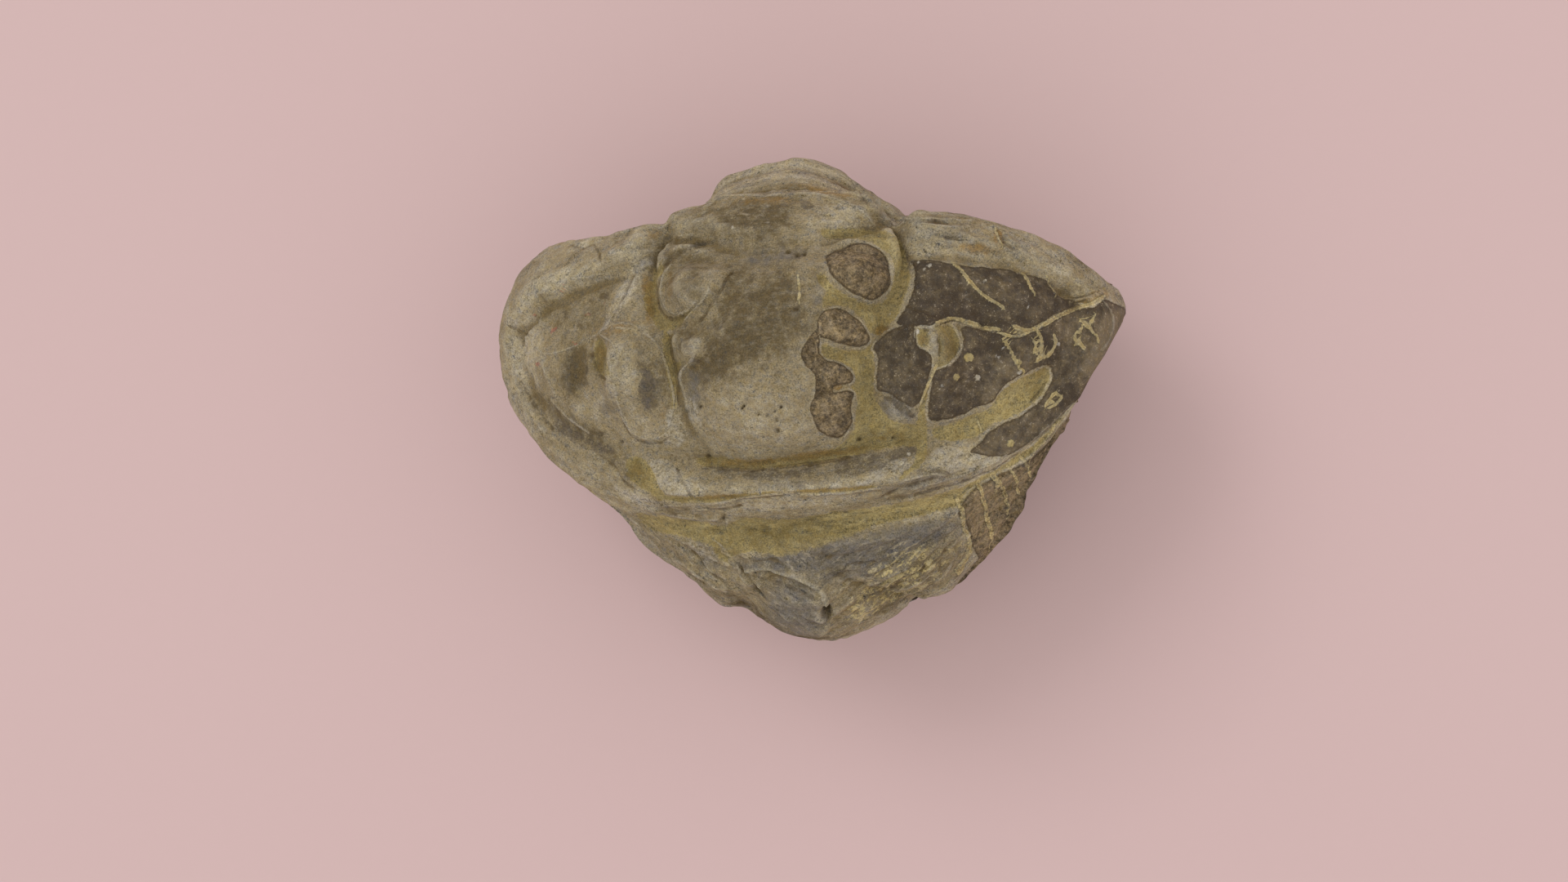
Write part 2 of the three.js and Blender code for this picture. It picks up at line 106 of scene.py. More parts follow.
# Ochre mud in the furrows of the head: round the rear lobe, down the axial furrow and along the
# front of the glabella, in the cheek's border furrow, at the corner, and patches of both cheeks
HEAD_MUD = [
    [
        (2.35, 12.8), (3.5, 13.1), (5, 13), (6.7, 12.75), (7.3, 12), (7.75, 10.35), (7.7, 9.55),
        (7.15, 8.15), (6.9, 7.6), (6.1, 6.85), (5.7, 6.45), (5.35, 6.6), (4.75, 7.5), (3.95, 8.2),
        (2.95, 8.35), (2.4, 8.25), (2.4, 8.7), (2.55, 9.2), (2.3, 9.5), (2.1, 9.9), (2.1, 10.25),
        (2.45, 10.2), (3.15, 9.4), (4.25, 8.8), (4.8, 8.5), (5.8, 8.45), (6.55, 9.1), (6.75, 10.25),
        (6.45, 11.4), (5, 12.35), (2.4, 12.5),
    ],
    [
        (2.2, 5.75), (2.6, 5.95), (3.2, 5.75), (4.35, 5.5), (4.85, 5.6), (5.45, 5.95), (5.45, 5.5),
        (5.55, 4.95), (5.55, 2.85), (6.2, 1.65), (6.8, 1.2), (8.05, 1.05), (8.25, 1.75), (9.05, 4.25),
        (9, 3.7), (8.7, 2.25), (8.7, 1.5), (8.85, 0.4), (8.65, -1), (8.35, -1.5), (7.85, -1.85),
        (7.1, -2.4), (7.25, -2), (7.7, -1.65), (8.05, -1.2), (8.1, -0.35), (6.75, -0.4), (4.5, -0.8),
        (1.25, -1.5), (-2.25, -1.75), (-5.2, -1.5), (-5.5, -1.3), (-5.2, -1.05), (-4.5, -0.95),
        (-2.75, -1.2), (-1.5, -1.25), (1.5, -0.8), (2.25, -0.7), (3.6, -0.15), (4.3, 0.75), (4.45, 2.1),
        (4.5, 2.7), (4.3, 3.1), (4.1, 3.35), (4.4, 3.5), (4.2, 4.4), (3.3, 4.9), (2.65, 5.05), (2.35, 5.3),
    ],
    [
        (9.1, 0.6), (9.3, 0.8), (10.6, 1.15), (11.3, 1.5), (12.6, 2.05), (12.9, 2.35), (13.1, 2.8),
        (14, 3.55), (15.2, 4.15), (16.2, 4.55), (16.35, 4.2), (16.05, 3), (14.6, 1.75), (12.4, 0.8),
        (12.15, 0.45), (10.9, 0), (9.4, 0.15),
    ],
    [
        (18.1, 8.65), (18.5, 8.55), (19, 8.7), (19.35, 9.1), (19.5, 9.55), (19.65, 9.4), (19.6, 8.95),
        (18.8, 8.25), (18.2, 8.2),
    ],
    [
        (-7.55, 10.95), (-7.95, 10.3), (-8.6, 8.95), (-8.55, 8.25), (-7.9, 7.1), (-7.45, 6.75),
        (-6.85, 6.85), (-5.9, 7.6), (-5.55, 7.95), (-5.9, 8.05), (-6.4, 7.7), (-7, 7.5), (-7.75, 8.1),
        (-7.9, 9.4), (-7.75, 10), (-7.45, 10.5),
    ],
    [
        (-9.6, -1.1), (-9, -0.95), (-8.35, -1.35), (-7.6, -2.9), (-7.25, -3.3), (-7.45, -3.7), (-8, -3.3),
        (-8.7, -3), (-9.3, -2.5), (-9.65, -1.85),
    ],
    [(-11.6, 6.05), (-11.3, 6.3), (-11.05, 6.15), (-10.85, 4.8), (-10.65, 4.1), (-11, 3.95), (-11.75, 4.5)],
    [
        (9.15, 7.05), (9.9, 7.4), (10.55, 6.85), (10.75, 6.35), (10.7, 5.35), (10.05, 4.65), (9.65, 4.5),
        (9.1, 3.9), (9.2, 4.55), (9.45, 5.05), (9.55, 5.6), (9.4, 6.75),
    ],
    [(8, 6.85), (8.3, 7), (8.95, 6.75), (8.85, 5.9), (8.55, 5.7), (8.25, 5.9)],
    [
        (-8, -3), (-7.25, -3.3), (-4.5, -3.45), (-3, -3.3), (4, -2.9), (5.6, -2.75), (5.6, -2.9), (2, -3.2),
        (0, -3.25), (-4.5, -3.75), (-7.25, -3.65), (-7.85, -3.35),
    ],
    [
        (-7.4, 6.9), (-7.2, 6.85), (-6.8, 4.85), (-6.1, 4.95), (-6.35, 4.55), (-6.6, 3.9), (-6.65, 3),
        (-6.6, 2), (-6.85, 1.9), (-6.95, 2.9), (-7.45, 6),
    ],
]

# Mineral veins and sutures of the head that stand proud: half-width and the line
HEAD_VEINS = [
    (0.11, [(10.35, 10.8), (10.65, 10.5), (12.05, 8.95), (13.3, 8.15)]),
    (0.08, [(14.55, 10.15), (14.75, 9.85), (15.05, 9.2), (15.25, 8.95)]),
    (0.08, [(15.95, 10.15), (16.15, 9.8), (16.55, 8.95)]),
    (0.11, [(9.3, 7.15), (9.7, 7.35), (10.15, 7.45), (10.7, 7.4), (12.45, 6.9), (13.05, 6.8)]),
    (0.13, [(14.05, 6.95), (14.6, 6.75), (15.1, 6.75), (16.9, 7.7), (18.3, 8.25), (19, 8.45), (19.5, 8.8)]),
    (0.07, [(13.1, 6.6), (14.1, 6.35), (14.65, 6.5), (15.1, 6.75)]),
    (0.11, [(15.5, 6.6), (15.65, 6.2), (15.7, 5.7), (15.6, 5.3), (15.4, 4.95)]),
    (0.09, [(15.2, 6.15), (15.3, 5.85), (15.25, 5.45)]),
    (0.1, [(16.45, 6.35), (16.5, 6), (16.1, 5.2), (15.75, 5.1), (15.4, 4.9)]),
    (0.11, [(13.35, 6.2), (13.8, 5.5), (14.1, 4.8), (14.4, 4.4)]),
    (0.09, [(14.6, 4.25), (14.35, 4.5), (14.15, 4.95)]),
    (0.14, [(18.1, 7.3), (18.4, 7.05), (18.7, 6.8)]),
    (0.08, [(18.9, 7.75), (18.8, 7.45), (18.65, 7.15)]),
    (0.08, [(17.65, 6.35), (17.8, 6.65), (18.1, 6.85)]),
    (0.09, [(18.6, 6.75), (19, 6.4), (19.15, 5.9)]),
    (0.09, [(17.7, 6.1), (17.75, 6.45), (18, 6.6)]),
    (0.11, [(17.9, 6.1), (18.05, 5.85), (18.25, 5.6)]),
    (0.1, [(15.95, 2.1), (16.2, 2.6), (16.55, 3)]),
    (0.08, [(16.25, 2.05), (16.65, 2.35), (16.95, 2.75)]),
    (0.06, [(12.8, 13.05), (13.1, 12.25), (13.3, 11.85)]),
    (0.08, [(0.85, 10.1), (0.95, 9.1), (0.9, 8.6)]),
    (0.09, [(9.35, 4.7), (8.85, 3.55), (8.35, 2.35)]),
    (0.05, [(11.9, 1.4), (12, 1), (12.1, 0.6)]),
]

# Thin pale ridges: edges of the neck ring, of the lip and of the layers beside it
RIDGES = [
    (0.07, [(-6.2, -6.2), (-5.5, -6.4), (-5.1, -6.9), (-4.9, -7.5), (-4.4, -8.1)]),
    (0.06, [(-3.8, -6.8), (-3.2, -7.2), (-2.8, -7.7), (-2.6, -8.3), (-2.1, -8.8)]),
    (0.05, [(-8, -6.2), (-6.3, -7.5), (-5.4, -8.1), (-4.4, -8.8), (-3.5, -9.2)]),
    (0.06, [(5.1, -8.7), (6.3, -8.3), (7.4, -7.8)]),
    (0.06, [(6.9, -9.2), (8.1, -8.6), (9.3, -7.9)]),
    (0.06, [(9.2, -8.6), (10, -7.9), (10.6, -7.1)]),
    (0.06, [
        (-11.2, 6.5), (-10.5, 6), (-10.25, 5.35), (-10.55, 4.65), (-10.6, 4.05), (-10.4, 3.3), (-9.8, 1.25),
        (-9.3, 0.5), (-8.6, 0.15), (-7.9, 0.1), (-7.35, 0.45), (-6.95, 1.2), (-6.75, 2.5), (-7.7, 5.9),
        (-8.4, 6.5), (-9.2, 6.8), (-10.1, 6.9),
    ]),
    (0.05, [
        (-15.15, 5.65), (-14.6, 5.35), (-13.75, 5.4), (-12.1, 6.2), (-11.3, 6.6), (-10.7, 7.2),
        (-10.3, 7.9),
    ]),
    (0.05, [
        (-6.9, 10.7), (-7.35, 10.2), (-7.55, 9.4), (-7.45, 8.5), (-7.1, 7.95), (-6.6, 7.75), (-6, 8),
        (-5.4, 8.5),
    ]),
    (0.07, [
        (-4.9, 14.3), (-3.8, 14.85), (-1.5, 15), (1.5, 15.15), (2.5, 15), (4.4, 14.25), (5, 13.8),
        (5.45, 13.25),
    ]),
    (0.07, [(6.6, 13.3), (7.75, 13.35), (10.25, 13.1), (11.25, 13.05)]),
    (0.05, [(6.2, 13.5), (7.2, 13.65), (11.5, 13.45)]),
    (0.08, [(-5.4, 5.3), (-6.3, 3.9), (-6, 2.7), (-5.9, 2)]),
    (0.07, [(-7.4, -3.95), (-4, -3.8), (-2.5, -3.5), (0.5, -3.2), (2, -3.25), (3.5, -3.2), (5.9, -2.9)]),
    (0.07, [(-8.2, -4.2), (-6.5, -4.6), (-4.5, -4.8), (-3.7, -4.7), (-3.4, -4.85), (-3.5, -5.15)]),
    (0.05, [(-7, -3.65), (-6, -3.9), (-5, -4.15), (-3.2, -3.9)]),
    (0.07, [(7.4, -2.35), (9.1, -2), (9.8, -2.1)]),
    (0.05, [(7.8, -2.9), (10.8, -2.15), (12.3, -1.55), (13.6, -0.85)]),
    (0.04, [(8.5, -3.15), (11.5, -2.3), (12.9, -1.6), (14.25, -0.65)]),
    (0.07, [(13.6, -1.75), (14.5, -1.3), (15.3, -0.7), (16.55, 0.7), (16.95, 1.4)]),
    (0.05, [(14.75, -0.25), (16.65, 1.4), (17.6, 2.3)]),
    (0.06, [(-14.2, 2.5), (-13.2, 1.5), (-11.9, 0.5)]),
    (0.06, [(-15.25, 9.9), (-15.1, 9), (-14.8, 7.1)]),
    (0.05, [(-14.8, 5.4), (-14.65, 4.5), (-13.95, 2.7)]),
    (0.06, [(19.5, 8.45), (19.95, 7.85), (20.1, 7.2), (19.9, 6.4), (19.4, 5.5)]),
    (0.09, [(10.15, 7.15), (10.5, 6.9), (10.85, 5.9), (10.7, 5.35), (10.1, 4.65)]),
    (0.06, [(7.95, 6.45), (8, 6.8), (8.3, 7), (8.7, 7)]),
    (0.06, [(-13, 9.95), (-12.25, 10), (-10.9, 10.3)]),
    (0.06, [(-11, 6.8), (-10.4, 7.1), (-9.6, 7.2), (-8.1, 6.6)]),
    (0.06, [(-4.6, 9.35), (-4.8, 8.85), (-5.2, 8.35), (-5.7, 7.9), (-6, 7.4)]),
    (0.05, [(-5.75, 11.85), (-5.4, 12), (-5, 12.05), (-4.5, 12)]),
    (0.05, [(-4.4, -6), (-3.9, -6.4), (-3.4, -7), (-3, -7.7)]),
    (0.05, [(4.5, -11.1), (6, -10.6), (7.5, -9.9), (9.25, -9.2), (10.6, -8.3)]),
]

# Thin dark lines: real cracks, and painted shadow lines along the shut edges of lobes and layers
CRACKS_AND_SHADOW_LINES = [
    (0.06, [(-2.75, -7.5), (-2.4, -8.1), (-1.2, -9.5)]),
    (0.05, [(-5.7, -6.8), (-5.2, -7.5), (-4.6, -8.1), (-3.8, -8.6)]),
    (0.05, [(-8.5, -6.2), (-7.4, -7.1), (-5.1, -8.6)]),
    (0.05, [(5, -8.3), (6, -8), (7, -7.5)]),
    (0.05, [(6.5, -8.8), (7.6, -8.3), (8.7, -7.7)]),
    (0.05, [(7.5, -9.6), (8.8, -9), (9.9, -8.2)]),
    (0.05, [(5, -9.5), (6.2, -9.1), (7.2, -8.7)]),
    (0.05, [(9, -7.5), (9.8, -6.9), (10.4, -6.2)]),
    (0.05, [(-11.8, 6.3), (-11.9, 5.6), (-11.45, 4.1), (-11.05, 3.85)]),
    (0.04, [(-9.9, 1), (-9.4, 0.25), (-8.7, -0.1), (-7.8, -0.15), (-7.15, 0.2)]),
    (0.04, [(-9.05, 10.3), (-9.6, 9.4), (-9.8, 8.9), (-10.15, 8.3), (-10.4, 7.6)]),
    (0.07, [(-4.6, -1.6), (-3.5, -1.75), (-2, -1.8), (2.5, -1.3), (4, -1)]),
    # Painted shadow line along the upper edge of the tail's last piece
    (0.07, [(-1.6, -8.2), (-0.75, -8.45), (0.25, -8.85), (2.1, -9.6), (2.6, -10.1), (2.8, -10.8)]),
    (0.06, [(-7.1, 6.4), (-6.95, 5.5), (-6.7, 4.4), (-6.45, 2.2)]),
    # Painted shadow line along the upper edge of a lobe
    (0.06, [(2.65, 11.35), (3.2, 11.7), (5, 12.1), (5.7, 11.75), (6.25, 11.1), (6.45, 10.2), (6.15, 9.25)]),
    (0.06, [(-6.6, -1.85), (-6.05, -2.75), (-5.75, -3.45)]),
    (0.04, [(-2.75, -3.65), (-0.1, -3.35), (0.8, -3.3)]),
    (0.04, [(-4.6, -4.1), (-3.5, -4.15), (-2.7, -4)]),
    (0.04, [(4, -7.6), (4.6, -7.5), (5.5, -7.4)]),
    (0.05, [(9.3, 6.85), (9, 6.85), (8.7, 6.85)]),
    (0.04, [(9.5, 6.25), (9.65, 5.8), (9.55, 5.35)]),
    (0.06, [(-16.7, 7), (-16.2, 6.75), (-15.6, 6.45)]),
    (0.06, [(-11.55, 11.85), (-11.35, 11.5), (-11.3, 11.1)]),
    (0.06, [
        (-7, 11), (-7.45, 10.5), (-7.8, 9.15), (-7.7, 8.35), (-7.35, 7.7), (-6.75, 7.5), (-6.1, 7.75),
        (-5.5, 8.2),
    ]),
    (0.07, [(-3.5, 10.1), (-4.1, 9), (-5.1, 7.4)]),
    (0.06, [(-4.8, 5.25), (-5.25, 4.9), (-5.6, 4.55)]),
    (0.09, [(6.15, 2.7), (6.6, 2.5), (7, 2.05), (7.5, 1.7), (7.95, 1.5)]),
    (0.08, [(6.85, 2.8), (7.2, 2.3), (7.6, 1.9)]),
    (0.07, [(9.4, 12.65), (9.8, 12.6), (10.8, 12.35)]),
    (0.07, [(13.45, 12.25), (13.8, 11.95), (14.1, 11.75)]),
    (0.07, [(4, 16.3), (4.6, 15.9), (5.55, 14.8), (6.85, 13.7), (7.6, 13.5), (9, 13.5), (10, 13.4)]),
    (0.06, [(3.3, 16.4), (4, 15.95), (4.6, 15.3), (5.1, 14.6)]),
    (0.07, [
        (17.5, 2.15), (16.8, 1.35), (15.1, -0.15), (13.3, -1.4), (11.4, -2.35), (9.1, -3), (7.8, -3.35),
        (6.5, -3.6),
    ]),
    (0.06, [(6.1, -3.4), (8, -2.6), (9.1, -2.3)]),
    (0.06, [(-16, 3.5), (-15.5, 2.5), (-14.9, 1.6), (-14.2, 0.8)]),
    (0.05, [(-13, 12), (-12.4, 11.85), (-11.9, 12.05)]),
    (0.06, [(7.6, 8.2), (8, 8), (8.6, 7.9), (9.1, 7.7)]),
    (0.06, [(-11.25, -1), (-10.5, -1.6), (-9.9, -2.4), (-9.25, -3)]),
    (0.06, [(16.1, 3.5), (15.8, 3), (15.4, 2.6)]),
]

# Dark crumbs of shell, and chalky patches
ASH = [
    [
        (3.3, -1.1), (6.25, -0.65), (7.75, -0.35), (8.2, -0.45), (8, -0.8), (7.4, -1), (6.75, -1.1),
        (5.75, -1.7), (5, -1.85), (4.4, -2.15), (3.75, -2.3), (3.2, -2), (3.05, -1.5),
    ],
    [
        (-2.5, -2.05), (-2, -1.85), (-1.6, -1.7), (-1.15, -1.85), (-0.5, -1.8), (-0.1, -1.95), (0.3, -1.75),
        (0.75, -1.85), (1.6, -1.65), (1.7, -1.85), (-0.15, -2.4), (-0.6, -2.5), (-1.1, -2.35),
        (-1.75, -2.4), (-2.3, -2.3),
    ],
    [(-5.3, -1.65), (-4.25, -1.75), (-3.2, -1.85), (-3.5, -2.1), (-4.4, -1.95)],
    [
        (-8.95, 4.65), (-8.5, 4.95), (-7.95, 3.5), (-8, 2.5), (-8.35, 2), (-8.75, 2.4), (-8.9, 3.25),
        (-8.7, 3.9),
    ],
    [
        (-14.1, 1.6), (-13.5, 1.2), (-12.2, 0.3), (-11.5, -0.05), (-10.75, -0.3), (-10.4, -0.6),
        (-10.9, -0.8), (-12.5, -0.3), (-13.9, 0.9),
    ],
    [(8.1, -1.9), (8.8, -1.6), (10.3, -2.1), (9.5, -2.25), (8.7, -2.15)],
    [(1, 14.85), (1.5, 14.7), (1.85, 14.4), (1.5, 14.2), (1.1, 14.4)],
    [(2.75, -7.7), (3.5, -7.5), (3.8, -7.85), (3.5, -8.25), (2.9, -8.15)],
    [(10, -4.4), (10.5, -4.3), (10.3, -4.7), (9.8, -4.8)],
]
CHALK = [
    [
        (-8, 11.1), (-8.75, 10.9), (-9.75, 9.75), (-11, 7), (-10.6, 7.25), (-9.25, 9.1), (-8.85, 9.75),
        (-8.25, 10.35),
    ],
    [
        (-8.6, -1.3), (-7.4, -1.2), (-6.7, -1.75), (-5.8, -3.35), (-6.75, -3.3), (-7.4, -3), (-7.8, -2.5),
        (-8.1, -1.9),
    ],
    [(-5.85, 2.6), (-5.5, 2.3), (-5.2, 1.5), (-5.1, 0.7), (-5.5, 0.9)],
    [(-10, -3), (-7.6, -3.85), (-8, -4.2), (-9, -3.85), (-9.8, -3.5)],
    [
        (9.5, -0.4), (10.75, -0.5), (11.5, -0.85), (12.75, -1.05), (13.75, -0.95), (12.75, -1.4),
        (10.25, -1.9), (9.1, -1),
    ],
    [(-7, 2), (-6.55, 2.1), (-6.3, 1.25), (-6.1, 0.25), (-6.6, -0.35), (-7.25, -0.1), (-7.2, 1)],
    [
        (5.75, -1), (6.5, -1.3), (7.4, -1.1), (7.9, -1.3), (7.6, -1.8), (6.75, -2.3), (5.5, -2.6),
        (4.25, -2.6), (5, -2.1),
    ],
    [(-5.9, -6), (-5.1, -6.4), (-4.4, -6.7), (-4.1, -7.4), (-5.4, -6.8)],
    [(2, -9.1), (2.4, -9.2), (2.6, -9.8), (2.2, -9.9), (1.9, -9.5)],
]

# Ochre mud that fills the gap between the lip of the head and the tail
GAP_MUD = [
    [(12.4, -5), (12.9, -5.8), (13.15, -6.1), (12.8, -6.4), (12.25, -7.2), (12.45, -6.4), (12.5, -5.75)],
    [
        (-9, -4.5), (-8, -4.6), (-5, -4.95), (-3.7, -5.15), (-2.4, -4.7), (-1.25, -4.8), (0, -4.8),
        (2.5, -4.45), (5, -4.2), (6.25, -3.95), (10.9, -2.85), (14.5, -0.75), (16.2, 0.65), (16.8, 1.35),
        (17.15, 1.6), (16.95, 1.05), (15.7, -0.45), (14.2, -1.45), (12.8, -2.2), (11.5, -3.15),
        (11.05, -3.75), (10.4, -4.1), (8.25, -4.55), (4.5, -5.6), (1.5, -6.7), (0.5, -7.05), (-0.75, -6.95),
        (-2.85, -6.9), (-3.5, -7.4), (-4, -7.2), (-4.4, -6.6), (-6.7, -5.8), (-8.1, -5.5), (-8.7, -5.05),
    ],
]

# Dark shell on the last ribs on the right, and the mud-filled furrows between them
RIB_SHELL = [
    [
        (10.6, -4.4), (11.3, -3.3), (13.4, -1.95), (14.2, -1.55), (15.6, -0.6), (16.3, 0.1), (17.5, 1.4),
        (18.25, 0.5), (18, -1.5), (15.75, -5.5), (14.25, -7.5), (12.75, -9), (11.25, -10.25), (10.6, -9.75),
        (11.6, -7.8), (11.8, -7.1), (11.5, -6.4), (11.3, -5.5), (11, -4.9),
    ],
]
RIB_VEINS = [
    (0.12, [
        (10.6, -3.5), (10.75, -4.05), (11, -5.3), (11.25, -5.8), (11.35, -6.4), (11.25, -7), (10.6, -8),
    ]),
    (0.12, [(11.95, -2.5), (12, -3.3), (12.35, -4.8), (12.55, -5.4), (12.6, -6), (12.1, -7.35)]),
    (0.1, [(12.9, -1.9), (13.5, -3.9), (13.55, -5.2), (13.35, -5.8)]),
    (0.09, [(13.75, -1.6), (14.4, -3.6), (14.45, -4.15)]),
    (0.08, [(14.6, -1.05), (14.7, -1.6), (14.9, -2.1), (15.3, -2.55)]),
    (0.07, [(15.1, -0.85), (15.45, -0.45), (15.85, -0.15)]),
    (0.07, [(16, 0.2), (16.4, 0.6), (16.6, 1.05)]),
    (0.07, [(12.8, -3), (12.9, -2.6), (12.8, -2.3)]),
]

# The tail's last piece, its ridge and the small hole at its end: middle and half-sizes
TAIL_PLATE = [
    (-1.6, -8), (-0.75, -8.25), (0.25, -8.65), (2.2, -9.4), (2.7, -9.9), (2.95, -10.6), (2.8, -11.4),
    (2.25, -11.95), (1.25, -11.55), (0, -10.75), (-1.6, -8.9),
]
TAIL_RIDGE = [
    (-2.2, -7.75), (-1.5, -7.6), (-0.7, -7.65), (0.75, -8.3), (2.1, -8.9), (2.45, -9.3), (2.6, -9.75),
]
TAIL_HOLE = (2.6, -10.35, 0.24, 0.3)

# Soft stains: middle, half-sizes in mm, turn of the oval in degrees and strength
FILM = [
    (-11.3, 5.2, 0.4, 1.2, 0, 0.8), (-9, -2.1, 0.8, 0.9, -20, 0.6), (-8.25, 2.75, 0.45, 1.3, 0, 0.7),
    (7.75, -8.25, 3, 1.3, 20, 0.5), (5.75, -5, 2.5, 3, 0, 0.1), (-7.25, 11.45, 1.2, 0.6, 20, 0.9),
    (9.8, 5.75, 1.3, 1.4, 0, 0.7), (-1.75, 13.7, 3.7, 1, 3, 0.9), (-1.75, 8, 3.3, 3.1, 0, 0.8),
    (-3.5, 5.5, 1.7, 2, 0, 0.6), (-12.7, 4.4, 0.85, 1.7, -10, 1.2), (-15.5, 2.6, 1.3, 0.75, -25, 0.6),
    (-12.3, 0.5, 2.6, 0.65, -37, 0.8), (-11.75, 8.25, 2.5, 1.3, 25, 0.45), (-5, 4.25, 1.5, 1.1, 0, 0.6),
    (-12.25, 11, 1.75, 0.8, 10, 0.3), (17.75, 3.9, 1.7, 0.8, 55, 0.5), (-6.1, 6.25, 0.8, 0.9, 0, 0.5),
    (-5.9, 9.5, 1.5, 1.9, 0, 0.55), (-8.25, 4, 1.1, 2, 0, 0.5), (-1, -5.75, 5.5, 0.8, 4, 0.6),
    (-1.5, -10.7, 3.2, 0.45, -30, 0.9), (2, -12.2, 2.2, 0.35, 0, 0.9), (9, -10, 2.7, 0.3, 12, 0.7),
    (5.75, -6.4, 3.5, 0.5, 8, 0.3), (0.25, 15.9, 3, 0.7, 0, 0.25), (5, 15, 1.7, 0.7, -45, 0.5),
    (-10.75, -3, 2, 0.4, -35, 0.5), (-8, 12, 2.5, 0.4, 8, 0.3), (-10.25, 4.5, 0.8, 1.2, 0, 0.4),
]
BLOOM = [
    (-9.5, 3.5, 0.7, 2.2, 0, 0.7), (-11.9, 2, 1.2, 1.2, 0, 0.5), (-11, -3, 3, 0.7, -35, 0.5),
    (-1.5, -2.9, 4.5, 0.4, 0, 0.6), (-8, -2.15, 0.7, 0.7, 0, 0.6), (-16, 5.5, 1.2, 3, 0, 0.7),
    (-12.75, 10.25, 2.5, 1.1, 10, 0.6), (0, 16.4, 3, 0.8, 0, 0.7), (9, 11.7, 3, 0.5, -4, 0.5),
    (7, -4.4, 3.5, 0.7, 10, 1.2), (7.1, 10, 0.6, 2, 0, 1), (-5, -5.5, 3, 0.6, 0, 0.5),
    (-12, -1.75, 2, 1, -35, 0.4), (13.4, -4, 3, 3.5, 0, 1.3), (11.5, 3.5, 2, 1.5, 0, 0.5),
    (14.5, 3, 2.5, 2, 30, 0.6), (19.6, 6, 0.8, 3, -18, 1), (-1.5, 1.4, 3.3, 2, 0, 0.45),
    (2.9, 13.7, 2.3, 1.1, 0, 0.7), (-9.6, 9.4, 0.55, 2.4, -32, 0.8), (-6.1, -2.6, 1.7, 0.7, -20, 0.7),
    (-8, 11.8, 3, 0.7, 8, 0.5), (-12, 12, 3.5, 0.5, 8, 0.5), (10, 11.75, 3.5, 0.8, -8, 0.5),
    (16.5, 10.5, 2.5, 1, -30, 0.7), (10.5, -1.1, 2.25, 0.7, 12, 0.6), (4.5, -2.5, 3.5, 0.4, 6, 0.6),
    (-8.5, 0.75, 1.5, 1.2, 0, 0.4), (-16, 6.5, 0.9, 3, 0, 0.35), (-9, -3.6, 1.3, 0.6, -28, 0.8),
    (1, -3.8, 5.5, 0.4, 5, 0.7), (19.5, 5.5, 1.1, 3, -20, 1.2), (18, 7.25, 2, 0.8, 20, 0.7),
    (15.5, 0.5, 3, 0.6, 38, 0.5), (14.5, 12.4, 3, 0.5, -15, 0.5), (0, 16.75, 2, 0.4, 0, 0.4),
]
SLATE = [
    (4.5, -7.6, 4.5, 1.2, 8, 0.9), (0.75, -10.25, 2.2, 1.5, -30, 0.6), (-6, 3, 2, 3, 0, 0.2),
    (-0.75, 11.3, 2.2, 0.65, 4, 0.8), (2.15, 8.6, 0.6, 2.2, 0, 0.6), (7, 1.95, 1.3, 0.8, -15, 1.1),
    (0, -2.7, 3, 0.3, 3, 0.7), (-8.4, 3.1, 0.6, 1.6, 0, 0.7), (-8.9, 10.5, 0.8, 0.4, 30, 0.6),
    (17.6, 5.75, 0.9, 1.7, 0, 0.8), (13.25, 9.4, 1.5, 0.7, -25, 0.3), (15.1, 8.1, 1.3, 0.7, 0, 0.45),
    (-5.5, 3, 0.5, 1.7, 0, 0.6), (10.75, 1.6, 1.1, 0.45, 20, 0.5), (8.5, -2.4, 3, 0.45, 16, 0.7),
    (5.75, -1.25, 2.5, 0.55, 8, 0.4), (-10.75, 2, 0.9, 1.2, 0, 0.5), (5, -6.4, 6.5, 0.9, 9, 0.9),
    (0.75, -10.4, 1.9, 1.5, -30, 0.8), (9, -5.4, 2, 0.8, 10, 0.7), (10, 12.65, 2.5, 0.4, -3, 0.5),
    (14.25, 11.75, 1.2, 0.7, -10, 0.5), (-10, 11.5, 1.3, 0.6, 0, 0.4), (-1.5, -7.5, 3, 0.5, 0, 0.5),
    (-5, -7, 1.2, 0.6, -30, 0.6), (1.25, 6, 0.7, 1.5, 0, 0.4), (14, 4.5, 1.1, 0.6, -20, 0.6),
]
RUST = [
    (-11.35, 5, 0.3, 1.1, 0, 0.8), (-7.4, 2, 0.25, 1.5, 0, 0.5), (-8.75, 0.1, 1.3, 0.25, 0, 0.5),
    (19.4, 9, 0.5, 0.35, 0, 0.9), (13.05, 12.45, 0.25, 0.6, -30, 0.6), (5.9, 6.8, 0.5, 0.35, 10, 1.4),
    (8.5, 6.2, 0.4, 0.5, 0, 1), (11.75, 11.7, 1.3, 0.4, -10, 1.1), (13.1, 12.4, 0.25, 0.7, 18, 1),
    (19, 8.7, 0.9, 0.4, 35, 1), (-8.35, 8.9, 0.4, 1.7, 5, 0.9), (3.3, 3.3, 0.35, 0.2, 10, 1.3),
    (11, -1.25, 1, 0.25, 0, 0.4), (-1, 14.7, 3.2, 0.3, 2, 0.7), (-8, 12.65, 1.3, 0.4, 10, 0.6),
    (-9, 7, 1.7, 0.7, 0, 0.4), (2, -0.85, 3.3, 0.3, 8, 1), (-8.75, -2, 0.9, 0.9, -20, 0.5),
    (-2.75, -1.35, 2.5, 0.35, 0, 0.8), (2.5, 15.4, 2, 0.3, -14, 1), (14.25, 4.7, 0.3, 0.3, 0, 1),
    (-3, -3.4, 4.5, 0.2, 3, 0.8), (3, -3, 3, 0.15, 3, 1), (15.1, 3.9, 1.3, 0.7, 20, 0.5),
    (6.5, 0.25, 2, 0.5, 0, 0.5), (-1.75, 15.4, 2.5, 0.4, 5, 0.4), (-7, 9.75, 0.25, 1.5, 0, 0.5),
    (4.25, -10.25, 1.3, 0.5, 20, 0.6), (-14.5, 5, 0.25, 2.5, 5, 0.4), (-10.75, 6.75, 1.5, 0.4, 10, 0.5),
]

